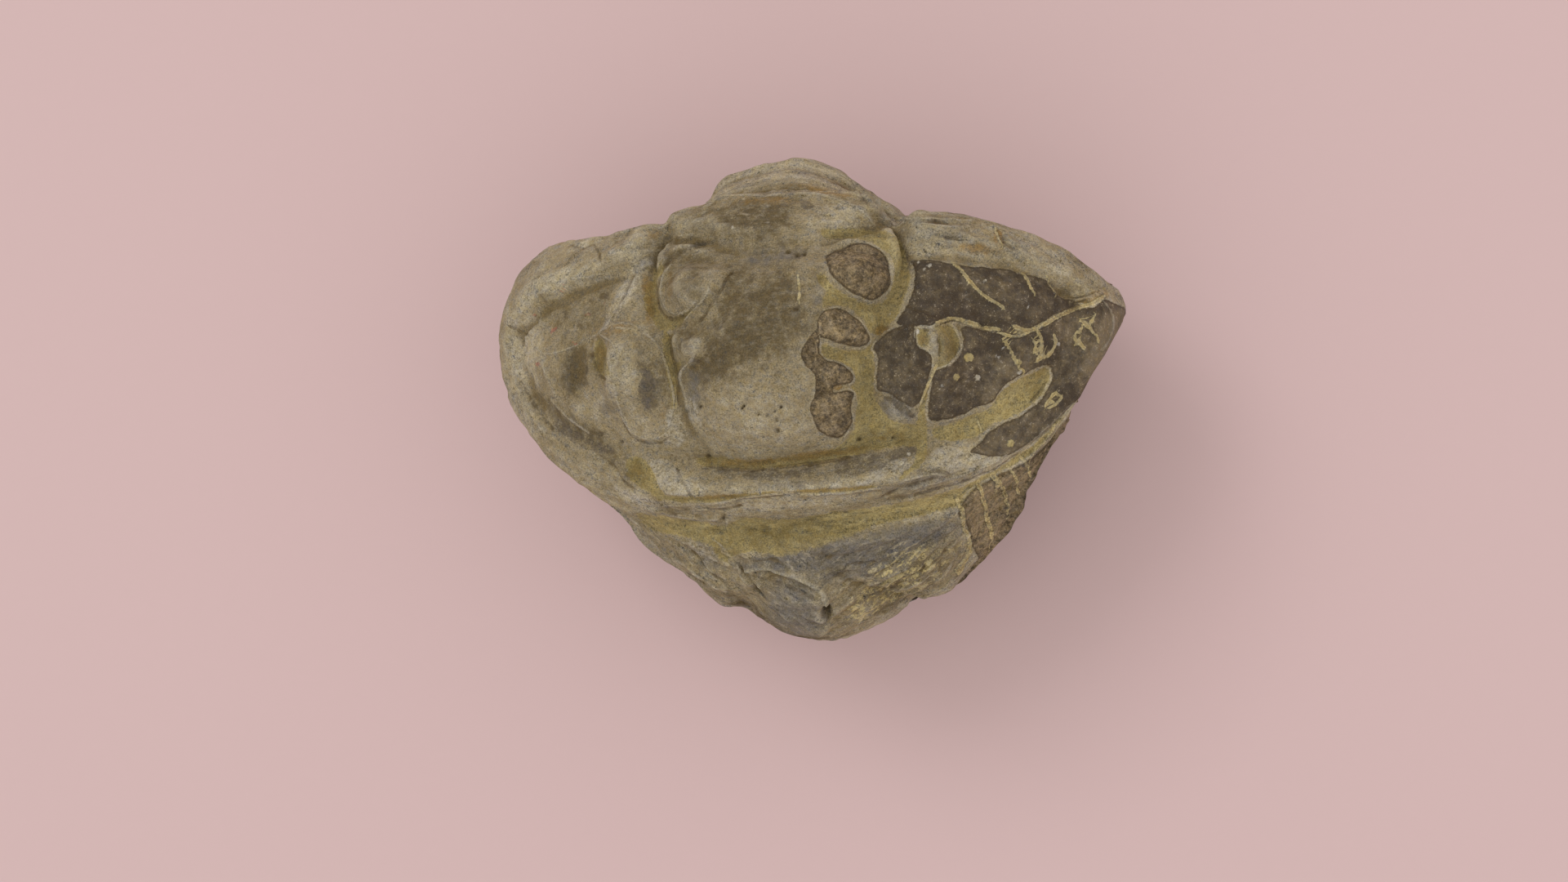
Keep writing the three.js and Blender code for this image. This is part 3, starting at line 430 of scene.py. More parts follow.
# Where the layers break up into yellow flakes, and faint old flecks of reddish mineral
FLECK = [
    (7.6, -8, 3.6, 1.7, 22, 1), (5.1, -10.1, 2.2, 0.9, 28, 0.9), (13.5, -2.5, 1.7, 1.1, 30, 0.7),
    (18, 9.75, 1.3, 0.8, -35, 0.5), (15.1, 5.4, 1.7, 1, 0, 0.35), (10.5, -1, 1.5, 0.6, 0, 0.4),
    (-5, -8, 2.5, 1.2, -35, 0.35), (-13, 10.5, 2.5, 1.3, 15, 0.25), (-15.5, 5, 1.2, 3, 0, 0.2),
]
INK = [
    (-13.6, 9.4, 0.15, 0.4, -20, 1), (-15.25, 7.7, 0.15, 0.25, 30, 0.9), (-14.2, 6.8, 0.35, 0.15, 50, 0.9),
    (-11.9, 7.7, 0.2, 0.15, 0, 0.8), (-12.85, 6, 0.3, 0.15, -35, 0.7), (-15, 4.7, 0.15, 0.2, 0, 0.9),
    (-11, 8.4, 0.15, 0.2, 20, 0.6),
]

# Small pits: place and half-width, mm
PITS = [
    (-3.7, -4.7, 0.12), (12.15, 7.15, 0.09), (18.55, 7.2, 0.07), (-4.9, 12.05, 0.1), (-4.6, 12.15, 0.08),
    (-5.2, 12, 0.1), (-5.5, 11.95, 0.09), (-5.8, 11.85, 0.07), (-6.1, 11.75, 0.07), (-6.4, 11.6, 0.07),
    (1.25, 11.45, 0.11), (0.85, 11.35, 0.12), (0.3, 11.55, 0.09), (0.75, 8.2, 0.11), (16.35, 9.6, 0.12),
    (-3.3, 10.35, 0.08), (-5.15, 2.1, 0.07), (-2.5, 2.15, 0.07), (-0.2, 2.1, 0.07), (-0.4, 0.65, 0.08),
    (-0.45, 1.3, 0.06), (-0.6, 1.85, 0.06), (-1.55, 1.65, 0.06), (-1, 1.6, 0.06), (-2.6, 2, 0.05),
    (-4.7, -0.95, 0.1), (4.65, 0.1, 0.09), (-11.25, 0.4, 0.07), (-10, -0.05, 0.07), (6.75, 0.2, 0.06),
    (12.25, 7.1, 0.08), (18.4, 8.7, 0.09), (18.1, 8.8, 0.07),
]

# Light specks on the dark shell: place, half-width in mm, and whether it is yellow
SPECKS = [
    (11.25, 5.1, 0.28, 1), (10.5, 3.9, 0.2, 1), (11.8, 3.85, 0.18, 0), (13.05, 5.15, 0.13, 0),
    (14.4, 4.15, 0.15, 0), (14.3, 4.8, 0.16, 1), (13.8, -0.15, 0.25, 1), (8.9, 10.7, 0.12, 0),
    (8.2, 10.95, 0.1, 0), (8.55, 10.4, 0.09, 0), (13.3, 5.65, 0.11, 0), (16.7, 5.9, 0.12, 0),
    (9.6, 3.35, 0.1, 0), (-3.15, 13.05, 0.11, 0), (8.2, 6.7, 0.17, 0), (14.9, 8.15, 0.1, 0),
    (12.25, 9.75, 0.08, 0), (15, 1.1, 0.1, 0), (6.5, 7.8, 0.08, 0), (7.2, -1.35, 0.16, 0),
    (7.6, -0.8, 0.11, 0), (-8.5, 12, 0.08, 0), (-15.75, 4.6, 0.11, 0),
]


def smooth(low: float, high: float, x: Array) -> Array:
    """Rises from 0 at low to 1 at high along t * t * (3 - 2 t)."""
    t = np.clip((x - low) / (high - low), 0.0, 1.0)
    return t * t * (3.0 - 2.0 * t)


def bell(x: Array) -> Array:
    """A bell of height 1: e to the power of minus x squared."""
    return np.exp(-x * x)


def lattice_noise(points: Array, size: float, octaves: int, seed: int) -> Array:
    """Smooth noise between -1 and 1: values on a lattice, blended across each of its cells.

    Args:
        points: Places in millimetres, with x, y and z on the last axis.
        size: Cell size of the first octave in millimetres; each next one is half as large.
        octaves: How many sizes are added, each with half the weight of the one before.
        seed: Picks the values.

    Returns:
        One number for each point.
    """
    rng = np.random.default_rng(seed)
    shuffle = rng.permutation(256)
    values = rng.uniform(-1.0, 1.0, 256)
    total = np.zeros(points.shape[:-1])
    weights = 0.0
    for octave in range(octaves):
        place = points / size * 2.0**octave + 31.7 * octave
        cell = np.floor(place).astype(int)
        part = place - cell
        part = part * part * (3.0 - 2.0 * part)
        weight = 0.5**octave
        weights += weight
        for corner in np.ndindex(2, 2, 2):
            share = np.prod(np.where(corner, part, 1.0 - part), axis=-1)
            x, y, z = np.moveaxis((cell + corner) & 255, -1, 0)
            total += weight * share * values[shuffle[(shuffle[(shuffle[x] + y) & 255] + z) & 255]]
    return total / weights


def cubic(t: Array, start: Array, end: Array, slope_start: Array, slope_end: Array) -> Array:
    """The cubic from one value at t = 0 to another at t = 1, with given slopes at both."""
    return (
        (2 * t**3 - 3 * t**2 + 1) * start
        + (t**3 - 2 * t**2 + t) * slope_start
        + (3 * t**2 - 2 * t**3) * end
        + (t**3 - t**2) * slope_end
    )


def curve_through(points: Points, closed: bool = False, steps: int = 4) -> Array:
    """A smooth line through drawn points, as short straight steps.

    Between two neighbours it is the cubic whose end slopes come from the points on either side,
    each gap weighed by the square root of its length.

    Args:
        points: The drawn points.
        closed: Whether the line comes back to its start.
        steps: Straight steps from one drawn point to the next.

    Returns:
        The line's points, one to a row.
    """
    drawn = np.array(points, dtype=float)
    if closed:
        line = np.vstack([drawn[-1:], drawn, drawn[:2]])
    else:
        line = np.vstack([2 * drawn[:1] - drawn[1:2], drawn, 2 * drawn[-1:] - drawn[-2:-1]])
    p0, p1, p2, p3 = line[:-3], line[1:-2], line[2:-1], line[3:]
    gap = np.sqrt(np.linalg.norm(np.diff(line, axis=0), axis=1))[:, None]
    g0, g1, g2 = gap[:-2], gap[1:-1], gap[2:]
    slope1 = ((p1 - p0) / g0 - (p2 - p0) / (g0 + g1) + (p2 - p1) / g1) * g1
    slope2 = ((p2 - p1) / g1 - (p3 - p1) / (g1 + g2) + (p3 - p2) / g2) * g1
    t = (np.arange(steps) / steps)[None, :, None]
    curve = cubic(t, p1[:, None], p2[:, None], slope1[:, None], slope2[:, None])
    return np.vstack([curve.reshape(-1, 2), line[-2:-1]])


def in_reach(line: Array, x: Array, y: Array, reach: float) -> Array:
    """Which places lie inside a line's box, grown by a reach on every side."""
    low, high = line.min(axis=0) - reach, line.max(axis=0) + reach
    return (x > low[0]) & (x < high[0]) & (y > low[1]) & (y < high[1])


def from_step(start: Array, end: Array, x: Array, y: Array) -> tuple[Array, Array]:
    """Distance from places to one straight step, and a number that is positive left of it."""
    (ax, ay), (dx, dy) = start, end - start
    t = np.clip(((x - ax) * dx + (y - ay) * dy) / (dx * dx + dy * dy + 1e-12), 0.0, 1.0)
    return np.hypot(x - ax - t * dx, y - ay - t * dy), dx * (y - ay) - dy * (x - ax)


def distance_to(line: Array, x: Array, y: Array, reach: float = 1e9) -> tuple[Array, Array]:
    """Distance from places to a line of straight steps, and whether they are inside it.

    A place is inside when a level line to its right crosses the steps an odd number of times.

    Args:
        line: The line's points, one to a row; its last point is its first when it is closed.
        x: Places, first coordinate.
        y: Places, second coordinate.
        reach: Farther than this from the line's box, the distance is given as the reach.

    Returns:
        The distances and the inside flags.
    """
    near = in_reach(line, x, y, reach)
    px, py = x[near], y[near]
    nearest = np.full(px.shape, reach)
    crossed = np.zeros(px.shape, dtype=bool)
    for start, end in zip(line[:-1], line[1:]):
        away, left = from_step(start, end, px, py)
        nearest = np.minimum(nearest, away)
        level = (start[1] > py) != (end[1] > py)
        crossed ^= level & ((left > 0.0) == (end[1] > start[1]))
    distance = np.full(x.shape, reach)
    inside = np.zeros(x.shape, dtype=bool)
    distance[near], inside[near] = nearest, crossed
    return distance, inside


def depth_inside(outlines: Outlines, x: Array, y: Array, reach: float = 3.0) -> Array:
    """How deep places lie inside the nearest of some outlines, in mm, negative outside.

    Args:
        outlines: Closed outlines.
        x: Places, first coordinate.
        y: Places, second coordinate.
        reach: Depths are clipped to plus and minus this.

    Returns:
        The largest of the depths in the single outlines.
    """
    depth = np.full(x.shape, -reach)
    for outline in outlines:
        distance, inside = distance_to(curve_through(outline, closed=True), x, y, reach)
        depth = np.maximum(depth, np.where(inside, distance, -distance))
    return depth


def beside_lines(lines: Lines, x: Array, y: Array) -> tuple[Array, Array]:
    """Where places lie beside lines of given half-widths.

    The first field is the distance to the nearest line, positive on its left and negative on
    its right, so that it runs evenly through zero across the line and a thin line stays whole
    between the points of a coarser net. The second is the line's half-width, which fades to less
    than nothing away from it. A place is in a line where the distance is under the half-width.

    Args:
        lines: Half-width in mm and drawn points of each line.
        x: Places, first coordinate.
        y: Places, second coordinate.

    Returns:
        The signed distance and the half-width, mm.
    """
    reach, fade_from, fade_slope = 0.8, 0.22, 2.0
    nearest = np.full(x.shape, reach)
    signed = np.full(x.shape, reach)
    width = np.zeros(x.shape)
    for half_width, points in lines:
        line = curve_through(points)
        near = in_reach(line, x, y, reach)
        best, side, wide = nearest[near], signed[near], width[near]
        for start, end in zip(line[:-1], line[1:]):
            away, left = from_step(start, end, x[near], y[near])
            closer = away < best
            best = np.where(closer, away, best)
            side = np.where(closer, np.where(left >= 0.0, away, -away), side)
            wide = np.where(closer, half_width, wide)
        nearest[near], signed[near], width[near] = best, side, wide
    return signed, width - fade_slope * np.maximum(nearest - fade_from, 0.0)


def soft_ovals(ovals: Sequence[Sequence[float]], x: Array, y: Array) -> Array:
    """Sum of soft ovals, each its strength times a bell of the distance in half-sizes."""
    total = np.zeros(x.shape)
    for middle_x, middle_y, half_x, half_y, turned, strength in ovals:
        c, s = math.cos(math.radians(turned)), math.sin(math.radians(turned))
        along = (x - middle_x) * c + (y - middle_y) * s
        across = (y - middle_y) * c - (x - middle_x) * s
        total += strength * np.exp(-((along / half_x) ** 2 + (across / half_y) ** 2) ** 1.5)
    return total


@dataclass
class Dome:
    """The head shield without its relief: an ellipsoid with a longer front half, mm."""

    rear: float = 2.0
    out: float = -2.0
    half_width: float = 19.4
    rear_reach: float = 12.5
    front_reach: float = 15.0
    height: float = 13.0
    rim: float = -1.8

    def ray(self, way: Array, heart: tuple[float, float]) -> Array:
        """Length of rays from the heart to the dome: the root of the ellipsoid's quadratic.

        Args:
            way: Unit directions (across, rear, out).
            heart: The heart's rear and out.

        Returns:
            The lengths, with the reach of whichever half the ray meets.
        """
        start = np.array([0.0, heart[0] - self.rear, heart[1] - self.out])

        def root(reach: float) -> Array:
            size = np.array([self.half_width, reach, self.height])
            w, s = way / size, start / size
            ww, b, ss = (w * w).sum(-1), (w * s).sum(-1), (s * s).sum()
            return (-b + np.sqrt(b * b - ww * (ss - 1.0))) / ww

        length = root(self.rear_reach)
        behind = heart[0] + length * way[..., 1] >= self.rear
        return np.where(behind, length, root(self.front_reach))


@dataclass
class RolledBody:
    """The rolled thorax and tail: sections keyed by turn, with their rings and ribs, mm.

    A section's columns are turn in degrees, reach of the side lobes, rise of the middle lobe
    over them, half-width of the middle lobe and squareness. A swelling's are turn, lean, their
    spreads in degrees and rise.
    """

    pole_reach: float = 16.0
    sections: Array = field(default_factory=lambda: np.array([
        [40, 13.0, 1.6, 6.2, 2.4], [62, 13.3, 2.1, 6.4, 2.6], [80, 13.0, 3.1, 6.5, 2.7],
        [100, 12.7, 3.1, 6.4, 2.7], [120, 12.0, 2.9, 6.2, 2.7], [140, 10.8, 2.6, 6.1, 2.7],
        [160, 9.7, 2.3, 5.9, 2.6], [180, 9.0, 2.1, 5.7, 2.4], [200, 9.1, 2.0, 5.6, 2.2],
        [220, 9.8, 1.9, 5.6, 2.0], [240, 10.7, 1.8, 5.7, 1.8], [260, 11.3, 1.6, 5.7, 1.7],
        [274, 11.6, 1.6, 5.5, 1.65], [285, 11.8, 1.5, 4.9, 1.65], [295, 11.9, 1.1, 3.9, 1.7],
        [303, 11.9, 0.7, 2.6, 1.75], [310, 11.7, 0.2, 1.9, 1.75], [318, 11.3, 0, 1.6, 1.75],
        [326, 10.5, 0, 1.6, 1.75], [342, 10.2, 0, 1.6, 1.8], [400, 13.0, 1.6, 6.2, 2.4],
    ]))
    swellings: Sequence[Sequence[float]] = (
        (112, 62, 55, 17, 1.9), (112, -62, 55, 17, 1.9), (90, 18, 25, 11, -1.1),
        (85, -17, 20, 6, 0.6), (288, 37, 26, 13, 0.7), (268, 33, 22, 8, 0.6),
        (238, 71, 36, 10, -1.5), (292, -58, 26, 16, -1.0), (262, -69, 22, 8, -1.0),
        (272, -30, 22, 9, 0.7), (295, 62, 22, 12, -0.8), (200, 25, 22, 16, -0.25),
        (165, -35, 25, 18, 0.2),
    )
    thorax_start: float = 62.0
    thorax_end: float = 274.0
    rings: int = 13
    tail_end: float = 316.0
    tail_rings: int = 7
    axis_end: float = 305.0
    neck_sweep: float = 9.0
    tail_sweep: float = 9.0
    sweep_lean: float = 70.0

    def __post_init__(self) -> None:
        """Measures the crest from the neck to the tail, degree by degree."""
        self.degrees = np.arange(self.thorax_start, self.thorax_end + 1.0)
        middle = self.degrees[:-1] + 0.5

        def reach(turn: Array) -> Array:
            return self.measure(1, turn) + self.measure(2, turn)

        steps = np.hypot(np.radians(reach(middle)), reach(middle + 0.5) - reach(middle - 0.5))
        self.lengths = np.concatenate([[0.0], np.cumsum(steps)])
        self.ring_length = self.lengths[-1] / self.rings

    def measure(self, column: int, turn: Array) -> Array:
        """One measure of the sections at a turn: a cubic whose slopes come from the neighbours."""
        keys, values = self.sections[:, 0], self.sections[:, column]
        t = np.where(turn < keys[0], turn + 360.0, turn)
        i = np.clip(np.searchsorted(keys, t, side="left") - 1, 0, len(keys) - 2)
        before, after = np.maximum(i - 1, 0), np.minimum(i + 2, len(keys) - 1)
        span = keys[i + 1] - keys[i]
        slope_a = (values[i + 1] - values[before]) / (keys[i + 1] - keys[before]) * span
        slope_b = (values[after] - values[i]) / (keys[after] - keys[i]) * span
        s = np.clip((t - keys[i]) / span, 0.0, 1.0)
        return cubic(s, values[i], values[i + 1], slope_a, slope_b)

    def ray(self, turn: Array, lean: Array) -> Array:
        """Length of rays to the smooth body: a superellipse from the crest to the pole."""
        power = self.measure(4, turn)
        to_pole = np.abs(np.sin(np.radians(lean))) / self.pole_reach
        to_crest = np.cos(np.radians(lean)) / self.measure(1, turn)
        return (to_pole**power + to_crest**power) ** (-1.0 / power)

    def ring_at(self, turn: Array) -> Array:
        """Rings counted from the neck: equal in length on the thorax, in turn on the tail."""
        thorax = np.interp(turn, self.degrees, self.lengths) / self.ring_length
        thorax += np.minimum(turn - self.thorax_start, 0.0) * self.lengths[1] / self.ring_length
        past = np.maximum(turn - self.thorax_end, 0.0)
        return thorax + past / (self.tail_end - self.thorax_end) * self.tail_rings

    def crest_turn(self, ring: Array) -> Array:
        """The turn at which the crest reaches a ring count."""
        return np.interp(ring, self.lengths / self.ring_length, self.degrees)

    def sweep(self, turn: Array, lean: Array) -> Array:
        """Degrees that a rib has swept towards the tail where it crosses a lean."""
        most = self.neck_sweep * (1.0 - smooth(80, 160, turn))
        most = most + self.tail_sweep * smooth(180, 270, turn)
        return most * (lean / self.sweep_lean) ** 2

    def swept_turn(self, crest: Array, lean: Array) -> Array:
        """The turn at which a lean meets the rib that leaves the crest at a given turn."""
        turn = crest + 0.0 * lean
        for _ in range(12):
            turn = crest + self.sweep(turn, lean)
        return turn

    def relief(self, turn: Array, lean: Array, across: Array) -> Array:
        """Rings of the middle lobe and ribs of the side lobes, mm above the smooth body.

        A ring is low at its front, dips into a furrow, rises to a band and ends in a step. A rib
        is the same with a deeper furrow, and a shallow groove runs along it.

        Args:
            turn: Turn counted back along the sweep of the ribs, degrees.
            lean: Lean, degrees.
            across: Place across the body, mm.

        Returns:
            The height.
        """
        half = self.measure(3, turn)
        x = np.abs(across)
        ring = self.ring_at(turn)
        phase = ring - np.floor(ring)
        arch = self.measure(2, turn) * np.maximum(0.0, 1.0 - (x / half) ** 2) ** 1.1
        furrow = 0.3 * bell((x - half * 0.92) / 0.7)
        on_axis = 1.0 - smooth(0.78, 0.95, x / half)
        band = smooth(0.4, 0.56, phase) * (1.0 - smooth(0.93, 1.0, phase))
        rings = 0.45 * band - 0.22 * bell((phase - 0.37) / 0.09) - 0.15
        rings = rings * on_axis * (1.0 - smooth(self.axis_end - 3, self.axis_end + 3, turn))
        rib = smooth(0.36, 0.56, phase) * (1.0 - smooth(0.93, 1.0, phase))
        ribs = 0.52 * rib - 0.3 * bell((phase - 0.38) / 0.11) - 0.1
        ribs = ribs - 0.12 * bell((phase - 0.72) / 0.07)
        ribs = ribs * (1.0 - on_axis) * (1.0 - smooth(70, 86, np.abs(lean)))
        strength = 1.0 - 0.85 * smooth(self.rings - 1.0, self.rings + 0.3, ring)
        return arch - furrow + strength * (rings + ribs)


@dataclass
class HeadShield:
    """Outline and relief of the head shield, drawn along the out axis, mm."""

    outline: Points = (
        (0, 11.5), (5.5, 11.0), (7.8, 10.1), (11.8, 9.3), (14.9, 8.1), (16.8, 6.9), (18.2, 5.5),
        (19.2, 4.1), (19.3, 2.5), (18.7, 1.0), (17.6, -0.9), (15.8, -3.6), (13.2, -6.0),
        (10.4, -7.4), (6, -8.3), (0, -8.5), (-6, -8.3), (-10.4, -7.2), (-13.4, -5.5),
        (-16.2, -3.1), (-18.4, -0.7), (-19.7, 2.4), (-19.1, 5.8), (-17.6, 8.3), (-14.6, 9.2),
        (-11.8, 9.5), (-8.2, 10.3), (-5.5, 11.1),
    )
    glabella: Points = (
        (0, 8.1), (3.5, 8.5), (6.2, 8.2), (7.2, 6.9), (7.0, 5.4), (6.0, 4.0), (5.9, 2.4),
        (5.2, 1.2), (5.1, -0.4), (4.9, -1.8), (4.2, -2.9), (2.4, -3.8), (0, -4.1),
    )
    axial_furrow: Points = (
        (4.9, -3.6), (5.6, -2.4), (5.9, -1.0), (6.8, 3.2), (7.8, 6.0), (7.5, 8.4), (7.2, 10.2),
    )
    neck_furrow: Points = ((0, 7.9), (3, 8.3), (5.5, 9.1), (7.2, 9.3))
    rear_furrow: Points = ((7.6, 8.4), (8.8, 7.4), (11.8, 6.7), (14.8, 5.6), (17.0, 4.2))
    border_furrow: Points = (
        (0, -4.8), (3, -4.8), (5.5, -4.4), (9.5, -3.4), (11.8, -2.7), (15.2, -0.9), (16.9, 1.6),
        (17.0, 4.2),
    )
    border_crest: Points = (
        (0, -6.5), (6, -6.3), (8.9, -6.0), (11.5, -5.8), (13.2, -5.0), (15.5, -3.1),
        (17.0, -1.0), (18.3, 1.4), (18.5, 3.4), (17.6, 5.1), (15.2, 6.9), (11.8, 8.2), (8.9, 9.0),
    )
    # Middle, half-sizes, rise and moat of each lobe of the glabella
    lobes: Sequence[Sequence[float]] = (
        (5.6, 6.45, 1.9, 1.7, 0.45, 0.22), (4.6, 3.05, 1.5, 1.2, 0.3, 0.2),
        (4.0, 0.55, 1.1, 0.95, 0.2, 0.1), (-4.6, 6.5, 2.05, 1.95, 0.4, 0.32),
        (-5.0, 2.6, 1.2, 1.05, 0.35, 0.2), (-4.3, 0.3, 1.0, 0.9, 0.1, 0.05),
    )
    neck_ring: Sequence[float] = (0, 10.3, 7.4, 2.4, 0.55)
    eye: Sequence[float] = (9.9, 1.7, 1.7, 2.3, 1.6, 0.25)

    def relief(self, across: Array, rear: Array) -> Array:
        """Height of the glabella, lobes, eyes, border and furrows above the dome, mm.

        Furrows and crests are bells of the distance to their lines, and lobes are smooth steps
        of the distance from their middles, counted in half-sizes.
        """
        x = np.abs(across)
        halves = list(self.glabella) + [(-a, b) for a, b in reversed(self.glabella[1:-1])]
        distance, inside = distance_to(curve_through(halves, closed=True), across, rear)
        depth = np.where(inside, distance, -distance)
        front = 1.0 - smooth(7, 13, x)

        def beside(line: Points, width: float) -> Array:
            return bell(distance_to(curve_through(line), x, rear)[0] / width)

        height = 0.85 * smooth(-0.6, 1.8, depth) + 0.65 * smooth(0.8, 4.8, depth)
        height -= 0.8 * beside(self.axial_furrow, 0.85)
        height -= (0.25 + 0.35 * smooth(2, 5, x)) * beside(self.neck_furrow, 0.7)
        height -= 0.55 * beside(self.rear_furrow, 0.7)
        height -= (0.4 + 0.45 * front) * beside(self.border_furrow, 0.9)
        height += (0.35 + 0.4 * front) * beside(self.border_crest, 1.1)
        at_x, at_y, half_x, half_y, rise = self.neck_ring
        ring = np.maximum(0.0, 1.0 - ((x - at_x) / half_x) ** 2 - ((rear - at_y) / half_y) ** 2)
        height += rise * ring**0.8
        for at_x, at_y, half_x, half_y, rise, moat in self.lobes:
            q = np.hypot((across - at_x) / half_x, (rear - at_y) / half_y)
            height += rise * (1.0 - smooth(0.4, 1.1, q)) - moat * bell((q - 1.3) / 0.35)
        at_x, at_y, half_x, half_y, rise, moat = self.eye
        q = np.hypot((x - at_x) / half_x, (rear - at_y) / half_y)
        height += rise * (1.0 - smooth(0.2, 1.4, q))
        return height - moat * bell((q - 1.6) / 0.4) * smooth(0, 1, x - at_x)


@dataclass
class Sheet:
    """The plane that the markings are drawn on, as seen from a point before the face.

    Attributes:
        yaw: Degrees that its viewer stands to the right of straight before the face.
        tilt: Degrees that its up direction leans to the right.
        away: The viewer's distance, mm.
        middle: The sheet's middle, mm right of and above the head's own middle.
    """

    yaw: float = 12.5
    tilt: float = 3.7
    away: float = 400.0
    middle: tuple[float, float] = (-1.75, -3.5)

    def axes(self) -> tuple[Array, Array, Array]:
        """The sheet's right, up and back directions, in head axes."""
        yaw, tilt = math.radians(self.yaw), math.radians(self.tilt)
        back = np.array([math.sin(yaw), 0.0, math.cos(yaw)])
        level = np.array([math.cos(yaw), 0.0, -math.sin(yaw)])
        rise = np.cross(back, level)
        right = math.cos(tilt) * level - math.sin(tilt) * rise
        up = math.sin(tilt) * level + math.cos(tilt) * rise
        return right, up, back

    def place(self, points: Array) -> tuple[Array, Array]:
        """Where points, in head axes, fall on the sheet, mm right of and above its middle."""
        right, up, back = self.axes()
        nearer = 1.0 - points @ back / self.away
        return (points @ right - self.middle[0]) / nearer, (points @ up - self.middle[1]) / nearer


@dataclass
class Net:
    """The stone's net of rows round the body and lines from side to side.

    Attributes:
        lean: Lean of each line's points, degrees.
        turn: Turn of each point, degrees.
        way: Unit direction of each point from the heart.
    """

    lean: Array
    turn: Array
    way: Array


@dataclass
class Stone:
    """The whole trilobite, as one closed surface; lengths are in mm.

    Everything below the part's base is worn away flat.

    Attributes:
        heart: The point inside the animal that all rays start from: its rear and out.
        heart_at: Where the heart lies in the part frame.
        pole: How far the rays to the sides are bent to the rear and out.
        crust: Swellings of crust on head and body: turn, lean, their spreads and rise.
        lines: Lines of the net, from side to side.
        head_rows, tail_rows: Rows over the head and over the tail.
        ring_rows: Where rows cross each ring, as shares of it.
        least_step: Least turn from one row of the thorax to the next, degrees.
        edge_average: Lines on either side in the running average of the head's rear edge.
        edge_share: Most that the average may leave that edge by, as a share of the head.
        edge_power: How closely to the edge the rows start to follow it.
    """

    heart: tuple[float, float] = (-2.5, -1.0)
    heart_at: tuple[float, float, float] = (0.0, -1.45, 10.75)
    pole: tuple[float, float] = (0.03, 0.11)
    crust: Sequence[Sequence[float]] = (
        (64, -56, 16, 14, 0.9), (80, -62, 20, 14, 0.75), (62, -26, 7, 4, 0.4),
        (20, -38, 14, 9, 0.2),
    )
    lines: int = 249
    head_rows: int = 197
    ring_rows: Sequence[float] = (0.0, 0.08, 0.2, 0.33, 0.45, 0.57, 0.73, 0.9)
    tail_rows: int = 92
    least_step: float = 0.2
    edge_average: int = 14
    edge_share: float = 1 / 9
    edge_power: int = 8
    dome: Dome = field(default_factory=Dome)
    body: RolledBody = field(default_factory=RolledBody)
    head: HeadShield = field(default_factory=HeadShield)
    sheet: Sheet = field(default_factory=Sheet)

    def direction(self, turn: Array, lean: Array) -> Array:
        """The way rays point: turn round the across axis and lean, with the poles set forward."""
        side, slant = np.sin(np.radians(lean)), np.cos(np.radians(lean))
        rear = slant * np.sin(np.radians(turn)) + self.pole[0] * side * side
        out = slant * np.cos(np.radians(turn)) + self.pole[1] * side * side
        way = np.stack([side + 0.0 * rear, rear, out], axis=-1)
        return way / np.linalg.norm(way, axis=-1, keepdims=True)

    def in_head_axes(self, way: Array, length: Array) -> Array:
        """Points at given lengths along rays from the heart, in head axes."""
        return way * length[..., None] + np.array([0.0, *self.heart])

    def cover(self, turn: Array, lean: Array) -> Array:
        """Depth of each ray's dome point inside the head shield, negative outside it."""
        way = self.direction(turn, lean)
        point = self.in_head_axes(way, self.dome.ray(way, self.heart))
        outline = curve_through(self.head.outline, closed=True, steps=6)
        distance, inside = distance_to(outline, point[..., 0], point[..., 1])
        return np.minimum(np.where(inside, distance, -distance), point[..., 2] - self.dome.rim)

    def head_edges(self, lean: Array) -> tuple[Array, Array, Array]:
        """The turns at which leans enter the head, are deepest inside it and leave it."""
        tries = np.arange(0.0, 100.0, 4.0)
        depth = self.cover(tries[None, :] + 0.0 * lean[:, None], lean[:, None] + 0.0 * tries)
        middle = tries[np.argmax(depth, axis=1)]
        ends = []
        for far in (-60.0, 130.0):
            good, bad = middle.copy(), np.full(lean.shape, far)
            for _ in range(24):
                half = (good + bad) / 2
                inside = self.cover(half, lean) > 0
                good, bad = np.where(inside, half, good), np.where(inside, bad, half)
            ends.append(np.where(self.cover(middle, lean) > 0, good, middle))
        return np.minimum(ends[0], middle - 3), middle, np.maximum(ends[1], middle + 3)

    def net(self) -> Net:
        """The net: rows evenly over the head, then along the ribs, then evenly over the tail.

        The head's rows follow its rear edge only near that edge: further in they follow the
        edge's running average, so that a corner of the head does not shear them.
        """
        s = (np.arange(self.lines) + 1) / (self.lines + 1) * 2 - 1
        lean = 90 * (0.82 * s + 0.18 * s**7)
        front, _, rear = self.head_edges(lean)
        span = np.arange(-self.edge_average, self.edge_average + 1)
        near = np.clip(np.arange(self.lines)[:, None] + span, 0, self.lines - 1)
        even = np.average(rear[near], axis=1, weights=bell(span / (self.edge_average + 1)))
        most = (rear - front) * self.edge_share
        even = np.clip(even, rear - most, rear + most)
        share = (np.arange(self.head_rows) + 0.5) / self.head_rows
        head = front[:, None] + (even - front)[:, None] * share
        head += (rear - even)[:, None] * share**self.edge_power
        counts = (np.arange(self.body.rings)[:, None] + np.array(self.ring_rows)).ravel()
        thorax = self.body.swept_turn(self.body.crest_turn(counts)[None, :], lean[:, None])
        least = rear[:, None] + self.least_step * (np.arange(counts.size) + 1)
        thorax = np.maximum(thorax, least)
        share = np.arange(self.tail_rows) / self.tail_rows
        start = np.maximum(self.body.swept_turn(self.body.thorax_end, lean), least[:, -1])
        tail = start[:, None] + (front + 360 - start)[:, None] * share
        turn = np.hstack([head, thorax, tail])
        leans = np.repeat(lean[:, None], turn.shape[1], axis=1)
        return Net(leans, turn, self.direction(turn, leans))

